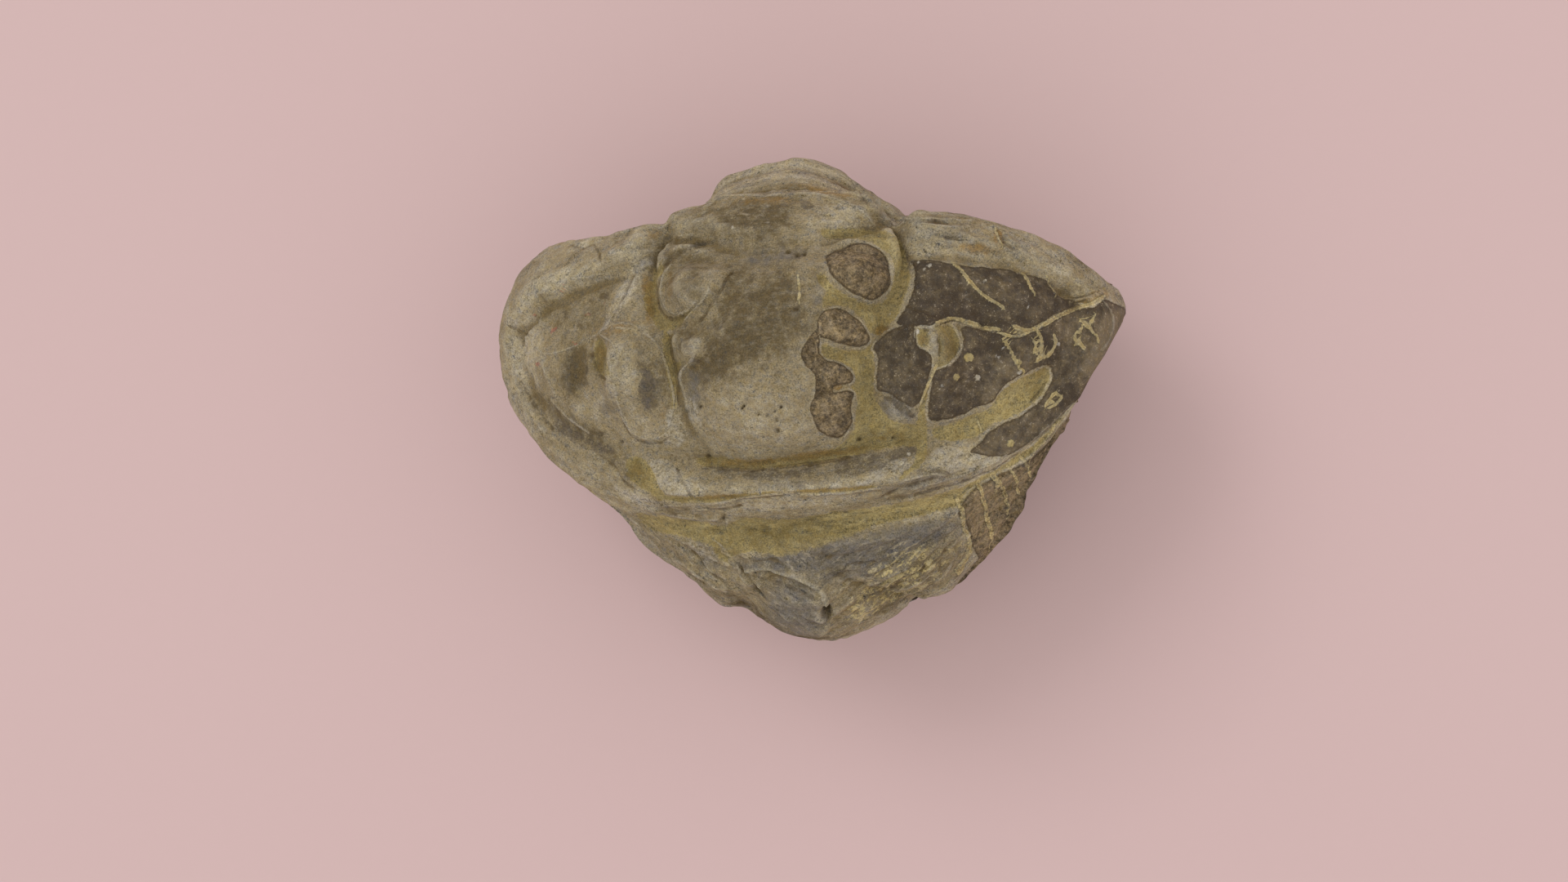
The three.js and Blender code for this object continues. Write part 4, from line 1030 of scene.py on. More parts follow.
    @staticmethod
    def swelling(swellings: Sequence[Sequence[float]], turn: Array, lean: Array) -> Array:
        """Height of some swellings, each a bell in turn and lean."""
        height = np.zeros(turn.shape)
        for at_turn, at_lean, wide_turn, wide_lean, rise in swellings:
            away = (turn - at_turn + 540.0) % 360.0 - 180.0
            height += rise * bell(away / wide_turn) * bell((lean - at_lean) / wide_lean)
        return height

    def shape(self, net: Net) -> tuple[Array, Array]:
        """Length of the net's rays to the stone before its fine carving, and the head's cover.

        The head's relief is read twice, the second time at the point that the first one gives,
        so that a furrow lands where it was drawn.
        """
        turn, lean, way = net.turn, net.lean, net.way
        crust = self.swelling(self.crust, turn, lean)
        covered = self.cover(turn, lean)
        head = smooth(-0.8, 0.2, covered)
        dome = self.dome.ray(way, self.heart) + crust
        on_head = dome.copy()
        shown = head > 0
        for _ in range(2):
            point = self.in_head_axes(way[shown], on_head[shown])
            on_head[shown] = dome[shown] + self.head.relief(point[:, 0], point[:, 1])
        gap = 0.4 * bell((covered + 1.3) / 0.7)
        body = self.body.ray(turn, lean) + crust + self.swelling(self.body.swellings, turn, lean)
        past = np.where(turn < 20, turn + 360, turn)
        back = past - self.body.sweep(past, lean)
        on_body = body + self.body.relief(back, lean, body * way[..., 0]) - gap
        return on_body + (on_head - on_body) * head, covered


@dataclass
class Markings:
    """What lies on the stone at each point of its net.

    Attributes:
        shell: Depth inside the dark outer shell, mm, negative outside it.
        lobe: Depth inside the brown shell of the lobes, mm.
        mud: Depth inside the ochre mud, mm.
        vein, ridge, crack: Signed distance to those lines and their half-width, mm. The crack lines are
            real cracks and painted shadow lines.
        ash, chalk: Depth inside the dark crumbs and the chalky patches, mm.
        speck: Depth inside light specks, mm, and yellow: 1 where a speck is yellow.
        film, bloom, slate, rust, fleck, red: Strength of the stains.
        layer: Place across the stone's fine layers, mm, and comb: how strongly they show.
        pit: Depth of the pits, 0 to 1.
        tail: Depth inside the tail's last piece, mm.
    """

    shell: Array
    lobe: Array
    mud: Array
    vein: tuple[Array, Array]
    ridge: tuple[Array, Array]
    crack_and_shadow: tuple[Array, Array]
    ash: Array
    chalk: Array
    speck: Array
    yellow: Array
    film: Array
    bloom: Array
    slate: Array
    rust: Array
    fleck: Array
    red: Array
    layer: Array
    comb: Array
    pit: Array
    tail: Array


@dataclass
class Surface:
    """Draws the markings and the fine carving on the stone's net; lengths are in mm.

    The drawings hold on the side of the stone that they were drawn from: the head, the front of
    the roll and the first rings behind the neck. Past them, over some ten degrees, they give way
    to shell left in patches, by noise that favours the right side, and to mud in the furrows.

    Attributes:
        stone: The stone.
        drawn_to: Turns over which the drawings give way behind the neck, degrees.
        drawn_from: Turns over which they come back before the tail, degrees.
        drawn_over: Heights on the sheet under which the head hides the rings behind it.
        front_turn: The turn past which the roll faces the sheet, degrees.
        nothing: Depth that stands for being well outside everything drawn.
        shell_rise, lobe_rise, mud_sink: Steps of the shells above the stone, and of the mud.
        line_rise: How far veins and ridges stand proud and cracks are cut.
        ash_rise, chalk_rise, speck_rise: Steps of the crumbs, the chalk and the specks.
        pit_depth, hole_depth: Depths of the small pits and of the hole in the tail.
        layer_pitch, layer_rise: Spacing and height of the fine layers.
        tail_ridge, tail_plate: Rise of the tail's ridge and of its last piece.
    """

    stone: Stone
    drawn_to: tuple[float, float] = (106.0, 116.0)
    drawn_from: tuple[float, float] = (260.0, 270.0)
    drawn_over: tuple[float, float] = (12.8, 13.6)
    front_turn: float = 262.0
    nothing: float = -1.0
    shell_rise: float = 0.07
    lobe_rise: float = 0.12
    mud_sink: float = 0.11
    line_rise: float = 0.1
    ash_rise: float = 0.05
    chalk_rise: float = 0.04
    speck_rise: float = 0.06
    pit_depth: float = 0.25
    hole_depth: float = 0.7
    layer_pitch: float = 0.62
    layer_rise: float = 0.035
    tail_ridge: float = 0.4
    tail_plate: float = 0.3

    def markings(self, net: Net, point: Array, covered: Array) -> Markings:
        """Reads every drawing at the net's points.

        Args:
            net: The stone's net.
            point: Its points on the stone before the fine carving, in head axes.
            covered: Depth of each point inside the head shield.

        Returns:
            The markings.
        """
        x, y = self.stone.sheet.place(point)
        head = smooth(-0.9, -0.4, covered) > 0.5
        turn = np.where(net.turn < 0, net.turn + 360, net.turn)
        front = (turn > self.front_turn) & ~head
        hidden = smooth(*self.drawn_to, turn) * (1 - smooth(*self.drawn_from, turn))
        behind = (turn < 180) * (1 - smooth(*self.drawn_over, y))
        hidden = np.where(head, 0.0, np.maximum(hidden, behind))
        ring = self.stone.body.ring_at(turn - self.stone.body.sweep(turn, net.lean))
        ragged = lattice_noise(point, 0.9, 3, 21)

        def drawn(value: Array, far: Array | float) -> Array:
            return value + (far - value) * hidden

        def area(outlines: Outlines, ragged_by: float, far: Array | float, reach: float = 3.0) -> Array:
            return drawn(depth_inside(outlines, x, y, reach) + ragged_by * ragged, far)

        far_shell, far_mud = self.far_side(net, point, turn, ring)
        shell = area(SHELL, 0.10, far_shell - 0.7)
        speck, yellow = np.full(x.shape, self.nothing), np.zeros(x.shape)
        for at_x, at_y, half, is_yellow in SPECKS:
            depth = half - np.hypot(x - at_x, y - at_y) + 0.07 * ragged
            speck = np.maximum(speck, drawn(depth, self.nothing))
            yellow = np.where(depth > -0.3, is_yellow, yellow)
        # The tail's hole counts among the pits, and the material paints shade into them all
        pit = drawn(1.3 * bell(self.from_hole(x, y)), 0.0)
        for at_x, at_y, half in PITS:
            pit = np.maximum(pit, drawn(bell(np.hypot(x - at_x, y - at_y) / (1.3 * half)), 0.0))
        # Layers run along the head's edge and the rings, and slant down both sides of the front
        inwards = 10.0 - 10.0 * np.hypot(point[..., 0] / 20.0, (point[..., 1] - 1.5) / 10.5)
        slanted = 0.82 * y - 0.57 * np.abs(x - 2.0)
        layer = np.where(head, inwards, np.where(front, slanted, 3.1 * ring))
        comb = np.where(head, 1 - 0.6 * smooth(0.8, 3.5, covered), 1.0)
        comb *= (1 - 0.6 * smooth(-0.2, 0.2, shell)) * (1 - bell((covered + 0.65) / 0.3))
        comb *= np.where(head, 1.0, 1 - bell((turn - self.front_turn) / 4))
        lines = []
        for drawings in (HEAD_VEINS + RIB_VEINS, RIDGES, CRACKS_AND_SHADOW_LINES):
            away, half_width = beside_lines(drawings, x, y)
            lines.append((away, drawn(half_width, self.nothing)))
        lines[0] = (lines[0][0], np.where(head | front, lines[0][1], self.nothing))
        return Markings(
            shell,
            area(LOBES + RIB_SHELL, 0.06, far_shell),
            area(HEAD_MUD + GAP_MUD, 0.08, far_mud),
            *lines,
            *(area(outlines, 0.06, -1.5, 1.5) for outlines in (ASH, CHALK)),
            speck,
            yellow,
            *(drawn(soft_ovals(stains, x, y), 0.0) for stains in (FILM, BLOOM, SLATE, RUST, FLECK, INK)),
            layer,
            comb,
            pit,
            np.where(front, depth_inside([TAIL_PLATE], x, y), -3.0),
        )

    @staticmethod
    def far_side(net: Net, point: Array, turn: Array, ring: Array) -> tuple[Array, Array]:
        """Depth inside the shell and inside the mud where nothing is drawn, by noise."""
        patch = lattice_noise(point, 2.6, 3, 9)
        right = smooth(8, 40, net.lean) * smooth(105, 150, turn)
        shell = 1.4 * (right - 0.45) + 1.1 * lattice_noise(point, 6.0, 3, 5) + 0.5 * patch
        from_furrow = np.abs((ring + 0.16) % 1.0 - 0.5)
        return shell, 0.16 - 0.5 * from_furrow - 0.35 * smooth(0.1, 0.6, patch)

    def carving(self, point: Array, marks: Markings) -> Array:
        """Fine relief along the rays, mm.

        Shell stands a step above what it has flaked off, mud lies low and level, veins, ridges
        and specks stand proud, cracks are cut, pits are bells, and noise roughens the whole.
        """
        x, y = self.stone.sheet.place(point)
        rough = 0.17 * lattice_noise(point, 2.4, 3, 2) + 0.10 * lattice_noise(point, 0.8, 2, 3)
        calm = 0.65 * smooth(-0.2, 0.3, marks.shell) + 0.6 * smooth(-0.3, 0.3, marks.mud)
        height = rough * (1 - np.minimum(calm, 0.8)) - self.pit_depth * marks.pit
        steps = (
            (self.shell_rise, marks.shell, -0.08, 0.06),
            (self.lobe_rise, marks.lobe, -0.10, 0.20),
            (-self.mud_sink, marks.mud, -0.15, 0.15),
            (self.ash_rise, marks.ash, -0.15, 0.1),
            (self.chalk_rise, marks.chalk, -0.2, 0.2),
            (self.speck_rise, marks.speck, -0.08, 0.08),
        )
        for rise, depth, low, high in steps:
            height += rise * smooth(low, high, depth)
        for (away, half_width), sign in ((marks.vein, 1), (marks.ridge, 1), (marks.crack_and_shadow, -1)):
            height += sign * self.line_rise * smooth(-0.14, 0.04, half_width - np.abs(away))
        wave = marks.layer / self.layer_pitch + 0.8 * lattice_noise(point, 1.6, 2, 7)
        height += self.layer_rise * marks.comb * (1 + marks.fleck) * np.sin(2 * np.pi * wave)
        ridge, _ = distance_to(curve_through(TAIL_RIDGE), x, y, 2.0)
        tail = self.tail_ridge * bell(ridge / 0.2) + self.tail_plate * smooth(-0.15, 0.3, marks.tail)
        tail -= self.hole_depth * bell(self.from_hole(x, y))
        return height + smooth(-2.9, -2.8, marks.tail) * tail

    @staticmethod
    def from_hole(x: Array, y: Array) -> Array:
        """Distance from the small hole in the tail, in half-sizes of it."""
        return np.hypot((x - TAIL_HOLE[0]) / TAIL_HOLE[2], (y - TAIL_HOLE[1]) / TAIL_HOLE[3])

    @staticmethod
    def hollow(point: Array, way: Array) -> Array:
        """How far points lie below the average of their neighbourhood, along the normal, mm; the material
        paints shade where this is positive and highlight where it is negative.
        """
        level = point.copy()
        for _ in range(24):
            side = np.vstack([level[:1], level[:-1]]) + np.vstack([level[1:], level[-1:]])
            level = (2 * level + side + np.roll(level, 1, axis=1) + np.roll(level, -1, axis=1)) / 6
        down = np.roll(point, -1, axis=1) - np.roll(point, 1, axis=1)
        normal = np.cross(down, np.gradient(point, axis=0))
        normal /= np.linalg.norm(normal, axis=-1, keepdims=True) + 1e-12
        outward = np.sign((normal * way).sum(axis=-1))
        return outward * ((level - point) * normal).sum(axis=-1)


@dataclass
class Trilobite:
    """The stone's mesh, with its markings as attributes of its points."""

    name: str = "trilobite_stone"
    stone: Stone = field(default_factory=Stone)

    def build(self) -> bpy.types.Object:
        """Works out the surface, carves it and makes the mesh.

        Returns:
            The object, at the origin, in metres.
        """
        stone, surface = self.stone, Surface(self.stone)
        net = stone.net()
        length, covered = stone.shape(net)
        point = stone.in_head_axes(net.way, length)
        marks = surface.markings(net, point, covered)
        length = length + surface.carving(point, marks)
        point = stone.in_head_axes(net.way, length)
        hollow = surface.hollow(point, net.way)
        poles = self.poles(length)
        vertices = np.vstack([point.reshape(-1, 3), poles])
        vertices = vertices - np.array([0.0, *stone.heart]) + np.array(stone.heart_at)
        vertices[:, 2] = np.maximum(vertices[:, 2], 0.0)
        mesh = bpy.data.meshes.new(self.name)
        faces = self.faces(*length.shape)
        mesh.from_pydata(vertices * MILLIMETRE, [], faces)
        mesh.polygons.foreach_set("use_smooth", np.ones(len(faces), dtype=bool))
        stored = {
            "shell_lobe_mud": (marks.shell, marks.lobe, marks.mud),
            "beside_lines": (marks.vein[0], marks.ridge[0], marks.crack_and_shadow[0]),
            "line_widths": (marks.vein[1], marks.ridge[1], marks.crack_and_shadow[1]),
            "ash_chalk_fleck": (marks.ash, marks.chalk, marks.fleck),
            "speck_yellow_red": (marks.speck, marks.yellow, marks.red),
            "film_bloom_slate": (marks.film, marks.bloom, marks.slate),
            "rust_layer_comb": (marks.rust, marks.layer, marks.comb),
            # hollow feeds the painted shade in hollows and painted highlight on crests; pit feeds the
            # painted shade in pits
            "hollow_pit": (hollow, marks.pit, 0.0 * hollow),
        }
        for name, parts in stored.items():
            self.store(mesh, name, parts)
        mesh.update()
        piece = bpy.data.objects.new(self.name, mesh)
        bpy.context.scene.collection.objects.link(piece)
        return piece

    def poles(self, length: Array) -> Array:
        """The two poles: the average lengths of the outermost lines, along the poles' rays."""
        ends = np.array([-90.0, 90.0])
        way = self.stone.direction(np.array([180.0, 180.0]), ends)
        reach = np.array([length[0].mean(), length[-1].mean()])
        return self.stone.in_head_axes(way, reach)

    @staticmethod
    def faces(lines: int, rows: int) -> list[tuple[int, ...]]:
        """Four-sided cells between neighbouring lines and rows, and a fan at each pole."""
        index = np.arange(lines * rows).reshape(lines, rows)
        after = np.roll(index, -1, axis=1)
        cells = np.stack([index[:-1], index[1:], after[1:], after[:-1]], axis=-1).reshape(-1, 4)
        left = np.stack([np.full(rows, lines * rows), index[0], after[0]], axis=-1)
        right = np.stack([np.full(rows, lines * rows + 1), after[-1], index[-1]], axis=-1)
        return [tuple(face) for part in (cells, left, right) for face in part.tolist()]

    @staticmethod
    def store(mesh: bpy.types.Mesh, name: str, parts: tuple[Array, Array, Array]) -> None:
        """Stores three fields of the net as one vector attribute; the poles take their average.

        Args:
            mesh: The stone's mesh.
            name: The attribute's name.
            parts: Three fields, one number for each point of the net.
        """
        fields = np.stack(parts, axis=-1)
        ends = np.stack([fields[0].mean(axis=0), fields[-1].mean(axis=0)])
        values = np.vstack([fields.reshape(-1, 3), ends]).astype(np.float32)
        attribute = mesh.attributes.new(name, "FLOAT_VECTOR", "POINT")
        attribute.data.foreach_set("vector", values.ravel())


class Blend(Enum):
    """How one colour goes over another."""

    COVER = "MIX"
    DARKEN = "MULTIPLY"


Number = Union["Value", float]


class Value:
    """A number that changes over a surface: a socket on which Python's operators add nodes."""

    def __init__(self, shader: "Shader", socket: bpy.types.NodeSocket) -> None:
        """Wraps a socket of a shader's node tree."""
        self.shader = shader
        self.socket = socket

    def _math(self, operation: str, *values: Number) -> "Value":
        """Adds a Math node on the given values."""
        return self.shader.number("ShaderNodeMath", {"operation": operation}, *values)

    def __add__(self, other: Number) -> "Value":
        """Sum."""
        return self._math("ADD", self, other)

    __radd__ = __add__

    def __sub__(self, other: Number) -> "Value":
        """Difference."""
        return self._math("SUBTRACT", self, other)

    def __rsub__(self, other: Number) -> "Value":
        """Difference, from a plain number."""
        return self._math("SUBTRACT", other, self)

    def __mul__(self, other: Number) -> "Value":
        """Product."""
        return self._math("MULTIPLY", self, other)

    def size(self) -> "Value":
        """The number without its sign."""
        return self._math("ABSOLUTE", self)

    def at_least(self, other: Number) -> "Value":
        """The larger of the two."""
        return self._math("MAXIMUM", self, other)

    def at_most(self, other: Number) -> "Value":
        """The smaller of the two."""
        return self._math("MINIMUM", self, other)

    def step(self, low: float, high: float) -> "Value":
        """Rises smoothly from 0 at low to 1 at high, and falls where high is below low."""
        settings = {"interpolation_type": "SMOOTHSTEP"}
        if low < high:
            return self.shader.number("ShaderNodeMapRange", settings, self, low, high, 0.0, 1.0)
        return self.shader.number("ShaderNodeMapRange", settings, self, high, low, 1.0, 0.0)


class Shader:
    """A material's node tree, with one method that adds any node."""

    def __init__(self, name: str) -> None:
        """Makes an empty material of this name with a Principled shader."""
        self.material = bpy.data.materials.new(name)
        self.material.use_nodes = True
        self.nodes = self.material.node_tree.nodes
        self.links = self.material.node_tree.links
        self.surface = self.nodes["Principled BSDF"]

    def node(self, kind: str, settings: dict[str, object], *values: object) -> bpy.types.Node:
        """Adds a node.

        Args:
            kind: The node's type.
            settings: Its own settings, set before its sockets.
            values: Numbers, colours, Values or sockets for its shown inputs, in order; None
                leaves one as it is.

        Returns:
            The node.
        """
        node = self.nodes.new(kind)
        for key, setting in settings.items():
            setattr(node, key, setting)
        shown = [socket for socket in node.inputs if socket.enabled and not socket.hide]
        for socket, value in zip(shown, values):
            if isinstance(value, Value):
                self.links.new(value.socket, socket)
            elif isinstance(value, bpy.types.NodeSocket):
                self.links.new(value, socket)
            elif value is not None:
                socket.default_value = value
        return node

    def number(self, kind: str, settings: dict[str, object], *values: object) -> Value:
        """Adds a node and gives its first shown output as a Value."""
        node = self.node(kind, settings, *values)
        return Value(self, next(socket for socket in node.outputs if socket.enabled))

    def parts(self, attribute: str) -> tuple[Value, Value, Value]:
        """The three fields of a vector attribute of the mesh."""
        source = self.node("ShaderNodeAttribute", {"attribute_name": attribute})
        split = self.node("ShaderNodeSeparateXYZ", {}, source.outputs["Vector"])
        x, y, z = (Value(self, socket) for socket in split.outputs)
        return x, y, z

    def noise(self, place: object, scale: float, detail: float, rough: float = 0.5) -> Value:
        """Noise from about -0.5 to 0.5; the scale is in cells to one of the place's own units."""
        settings = {"noise_dimensions": "3D"}
        return self.number("ShaderNodeTexNoise", settings, place, scale, detail, rough) - 0.5

    def blend(self, share: Number, under: object, over: object, how: Blend = Blend.COVER) -> object:
        """One colour over another.

        Args:
            share: How much of the upper one, 0 to 1.
            under: Colour below: a socket or a paint.
            over: Colour above.
            how: Whether it covers or darkens.

        Returns:
            The socket of the blended colour.
        """
        settings = {"data_type": "RGBA", "blend_type": how.value, "clamp_factor": True}
        return self.node("ShaderNodeMix", settings, share, under, over).outputs["Result"]

    def layers(self, under: object, *layers: tuple[Number, object]) -> object:
        """A colour under others, each given as how much of it shows and the colour itself."""
        for share, over in layers:
            under = self.blend(share, under, over)
        return under


def paint(red: int, green: int, blue: int) -> Paint:
    """A colour as it looks on a screen, 0 to 255, turned into the renderer's linear numbers."""

    def linear(value: int) -> float:
        v = value / 255.0
        return v / 12.92 if v <= 0.04045 else ((v + 0.055) / 1.055) ** 2.4

    return (linear(red), linear(green), linear(blue), 1.0)


@dataclass(frozen=True)
class FossilFinish:
    """Fossil shell, mud and mineral stains, each in its own colours, with colours for painted shade and
    painted highlight.
    """

    name: str = "fossil_stone"
    pale: Paint = paint(172, 160, 134)
    plain: Paint = paint(143, 129, 100)
    olive: Paint = paint(92, 79, 54)
    slate: Paint = paint(110, 104, 95)
    rust: Paint = paint(136, 106, 54)
    mud_light: Paint = paint(160, 144, 98)
    mud_deep: Paint = paint(106, 91, 52)
    shell_dark: Paint = paint(70, 59, 45)
    shell_worn: Paint = paint(124, 110, 86)
    lobe_dark: Paint = paint(84, 70, 49)
    lobe_light: Paint = paint(140, 123, 94)
    vein: Paint = paint(186, 170, 124)
    rim: Paint = paint(168, 157, 135)
    chalk: Paint = paint(179, 171, 154)
    ash: Paint = paint(90, 80, 66)
    # A dark colour for cracks and dots, also laid as painted shade inside the shell's edge, beside veins,
    # along edges and in pits
    crack_and_shadow: Paint = paint(74, 60, 40)
    flake: Paint = paint(180, 163, 112)
    red: Paint = paint(150, 84, 72)
    white: Paint = paint(186, 179, 164)
    # Painted shade laid into hollows of the surface, and painted highlight laid onto its crests
    hollow: Paint = paint(102, 84, 48)
    crest: Paint = paint(184, 174, 150)
    roughness: float = 0.82
    gloss: float = 0.3

    def make(self) -> bpy.types.Material:
        """Builds the material from the stone's attributes and noise on its own coordinates."""
        return FossilShader(self).build()


class FossilShader(Shader):
    """The fossil's node tree.

    Each outline's distance is shaken by fine noise and turned into a mask, and the masks lay the
    colours over one another: bare stone with its stains, mud, shell, rims, veins and specks, with
    painted shade in hollows, pits and beside veins and edges, and painted highlight on crests. The
    noises run from about -0.5 to 0.5. Distances are in mm, positive inside what was drawn.
    """

    def __init__(self, paints: FossilFinish) -> None:
        """Reads the stone's fields, and makes the noises and the masks of what was drawn."""
        super().__init__(paints.name)
        self.paints = paints
        own = self.node("ShaderNodeTexCoord", {}).outputs["Object"]
        place = self.node("ShaderNodeVectorMath", {"operation": "SCALE"}, own, 1 / MILLIMETRE).outputs[0]
        self.shell_d, self.lobe_d, self.mud_d = self.parts("shell_lobe_mud")
        widths, aways = self.parts("line_widths"), self.parts("beside_lines")
        self.vein_d, ridge_d, crack_and_shadow_d = (width - away.size() for width, away in zip(widths, aways))
        ash_d, chalk_d, self.fleck = self.parts("ash_chalk_fleck")
        speck_d, self.yellow, self.red = self.parts("speck_yellow_red")
        self.film, self.bloom, self.slate = self.parts("film_bloom_slate")
        self.rust, layer, self.comb = self.parts("rust_layer_comb")
        self.hollow, self.pit, _ = self.parts("hollow_pit")

        self.broad = self.noise(place, 0.4, 3.0)
        self.blotch = self.noise(place, 1.5, 5.0, 0.62)
        self.grain = self.noise(place, 4.5, 4.0, 0.75)
        self.fine = self.noise(place, 11.0, 2.0, 0.7)
        self.hue = self.noise(place, 2.4, 4.0, 0.7)
        self.streak = self.noise(self.along(place, layer, 0.6, 3.0), 1.0, 5.0, 0.68) * self.comb
        self.flaked = self.noise(self.along(place, layer, 1.3, 4.5), 1.0, 3.0, 0.6)
        self.shake = self.blotch * 0.20 + self.grain * 0.24

        self.on_shell = self.inside(self.shell_d, 1.0, -0.02, 0.02)
        self.on_lobe = self.inside(self.lobe_d, 0.8, -0.03, 0.03)
        self.on_mud = self.inside(self.mud_d, 1.6, -0.06, 0.06)
        self.on_vein = self.inside(self.vein_d, 0.7, -0.04, 0.03)
        self.on_ridge = self.inside(ridge_d, 0.5, -0.04, 0.03)
        self.on_crack_and_shadow = self.inside(crack_and_shadow_d, 0.8, -0.05, 0.02)
        crumbs = (self.grain + self.blotch * 0.6).step(-0.13, 0.07)
        self.on_ash = self.inside(ash_d, 1.6, -0.05, 0.05) * crumbs
        powder = (self.grain + self.blotch).step(-0.15, 0.15)
        self.on_chalk = self.inside(chalk_d, 1.6, -0.15, 0.12) * powder
        self.on_speck = (speck_d + self.grain * 0.35).step(-0.04, 0.03)
        self.rusty = (self.rust + self.blotch * 1.2 + self.grain * 0.5).step(0.25, 1.1) * 0.75

    def along(self, place: object, layer: Value, flat: float, steep: float) -> object:
        """A place to read noise at that is drawn out along the stone's own layers."""
        split = self.node("ShaderNodeSeparateXYZ", {}, place)
        x, y, _ = (Value(self, socket) for socket in split.outputs)
        return self.node("ShaderNodeCombineXYZ", {}, x * flat, y * flat, layer * steep).outputs[0]

    def inside(self, distance: Value, shaken: float, low: float, high: float) -> Value:
        """Mask of something drawn: a step of its distance, once noise has shaken it."""
        return (distance + self.shake * shaken).step(low, high)

    def bare_stone(self) -> object:
        """Colour of the stone without its shell: tone, stains, flakes, layers, chalk and crumbs."""
        paints, grain, blotch, flaked = self.paints, self.grain, self.blotch, self.flaked
        tone = self.film - self.bloom + self.broad * 1.4 + blotch * 3.0 + self.streak * 3.2 + grain * 2.8
        grey = (self.slate * 0.8 + blotch * 1.4 + grain * 0.8 - 0.15).step(0.0, 0.8) * 0.85
        flakes = (self.fleck * 0.10 + flaked + grain * 0.4).step(0.10, 0.17)
        return self.layers(
            paints.pale,
            (tone.step(-1.1, 0.1), paints.plain),
            (tone.step(0.0, 1.1), paints.olive),
            (grey, paints.slate),
            (self.rusty, paints.rust),
            (flakes * self.fleck.at_most(1.0) * 0.8, paints.flake),
            ((flaked + grain * 0.4).step(0.06, 0.2) * self.comb * 0.45, paints.rim),
            ((0.0 - flaked + grain * 0.4).step(0.06, 0.2) * self.comb * 0.4, paints.olive),
            (self.on_chalk * 0.5, paints.chalk),
            (self.on_ash * 0.75, paints.ash),
        )

    def mud(self) -> object:
        """Colour of the mud: light to deep ochre, with rust and grey."""
        paints, grain, blotch = self.paints, self.grain, self.blotch
        tone = self.rust * 0.5 + self.film * 0.8 - self.bloom * 0.6
        tone = tone + self.broad + blotch * 2.4 + grain * 2.4
        return self.layers(
            paints.mud_light,
            (tone.step(-0.5, 1.2), paints.mud_deep),
            (self.rusty * 0.6, paints.rust),
            ((self.slate - 0.3 + blotch).step(0.0, 1.0) * 0.6, paints.slate),
        )

    def shell(self) -> object:
        """Colour of the outer shell: dark to worn, with pale crumbs."""
        paints, grain, blotch = self.paints, self.grain, self.blotch
        worn = blotch * 2.4 + self.broad * 1.2 + self.slate * 0.5 + self.bloom * 0.5 + grain
        crumbs = (grain + self.fine * 0.8 + blotch * 0.4).step(0.16, 0.26) * 0.6
        return self.layers(
            paints.shell_dark, (worn.step(-0.35, 1.1), paints.shell_worn), (crumbs, paints.rim)
        )

    def lobe(self) -> object:
        """Colour of the brown shell on the lobes, lighter away from its edge."""
        tone = self.blotch * 2.4 + self.grain * 1.5 + self.bloom * 0.4 + self.lobe_d.at_most(0.6) * 0.4
        return self.blend(tone.step(-0.4, 0.75), self.paints.lobe_dark, self.paints.lobe_light)

    def with_rims(self, colour: object) -> object:
        """A colour with the pale broken rim outside the shell's edge and the shade inside it."""
        edge = self.shell_d.at_least(self.lobe_d) + self.shake
        near_mud = (self.mud_d + self.blotch * 0.6).step(-0.35, -0.1)
        rim = near_mud * 0.4 + 0.1 + self.blotch * 2.2 + self.grain * 1.5
        shade = edge.step(0.0, 0.02) * edge.step(0.16, 0.05) * (0.55 + self.blotch * 2.0)
        return self.layers(
            colour,
            (edge.step(-0.16, -0.10) * edge.step(-0.01, -0.05) * rim, self.paints.rim),
            (shade, self.paints.crack_and_shadow),
        )

    def with_lines(self, colour: object) -> object:
        """A colour with the veins and the painted shadow lines beside them, the ridges, the dark lines of
        cracks and painted shadow, and the specks.
        """
        paints, blotch = self.paints, self.blotch
        vein_shadow_line = self.vein_d.step(-0.10, -0.04) * self.vein_d.step(0.01, -0.03)
        core = (self.vein_d + self.shake * 0.6).step(0.05, 0.10)
        return self.layers(
            colour,
            # Painted shadow line along both sides of each vein
            (vein_shadow_line * (0.3 + blotch), paints.crack_and_shadow),
            (self.on_vein * (0.75 + blotch + self.grain), paints.vein),
            (core * (0.3 + blotch * 1.5), paints.rust),
            (self.on_ridge * (0.45 + blotch * 1.5), paints.rim),
            (self.on_crack_and_shadow * (0.4 + blotch * 2.0), paints.crack_and_shadow),
            (self.on_speck * 0.8, self.blend(self.yellow, paints.white, paints.flake)),
        )

    def weathered_with_painted_light(self, colour: object) -> object:
        """A colour with flecks of red, painted shade in hollows and pits, painted highlight on crests, dots
        and an uneven tint.
        """
        paints, grain, blotch, fine = self.paints, self.grain, self.blotch, self.fine
        bare = 1.0 - self.on_shell.at_least(self.on_lobe)
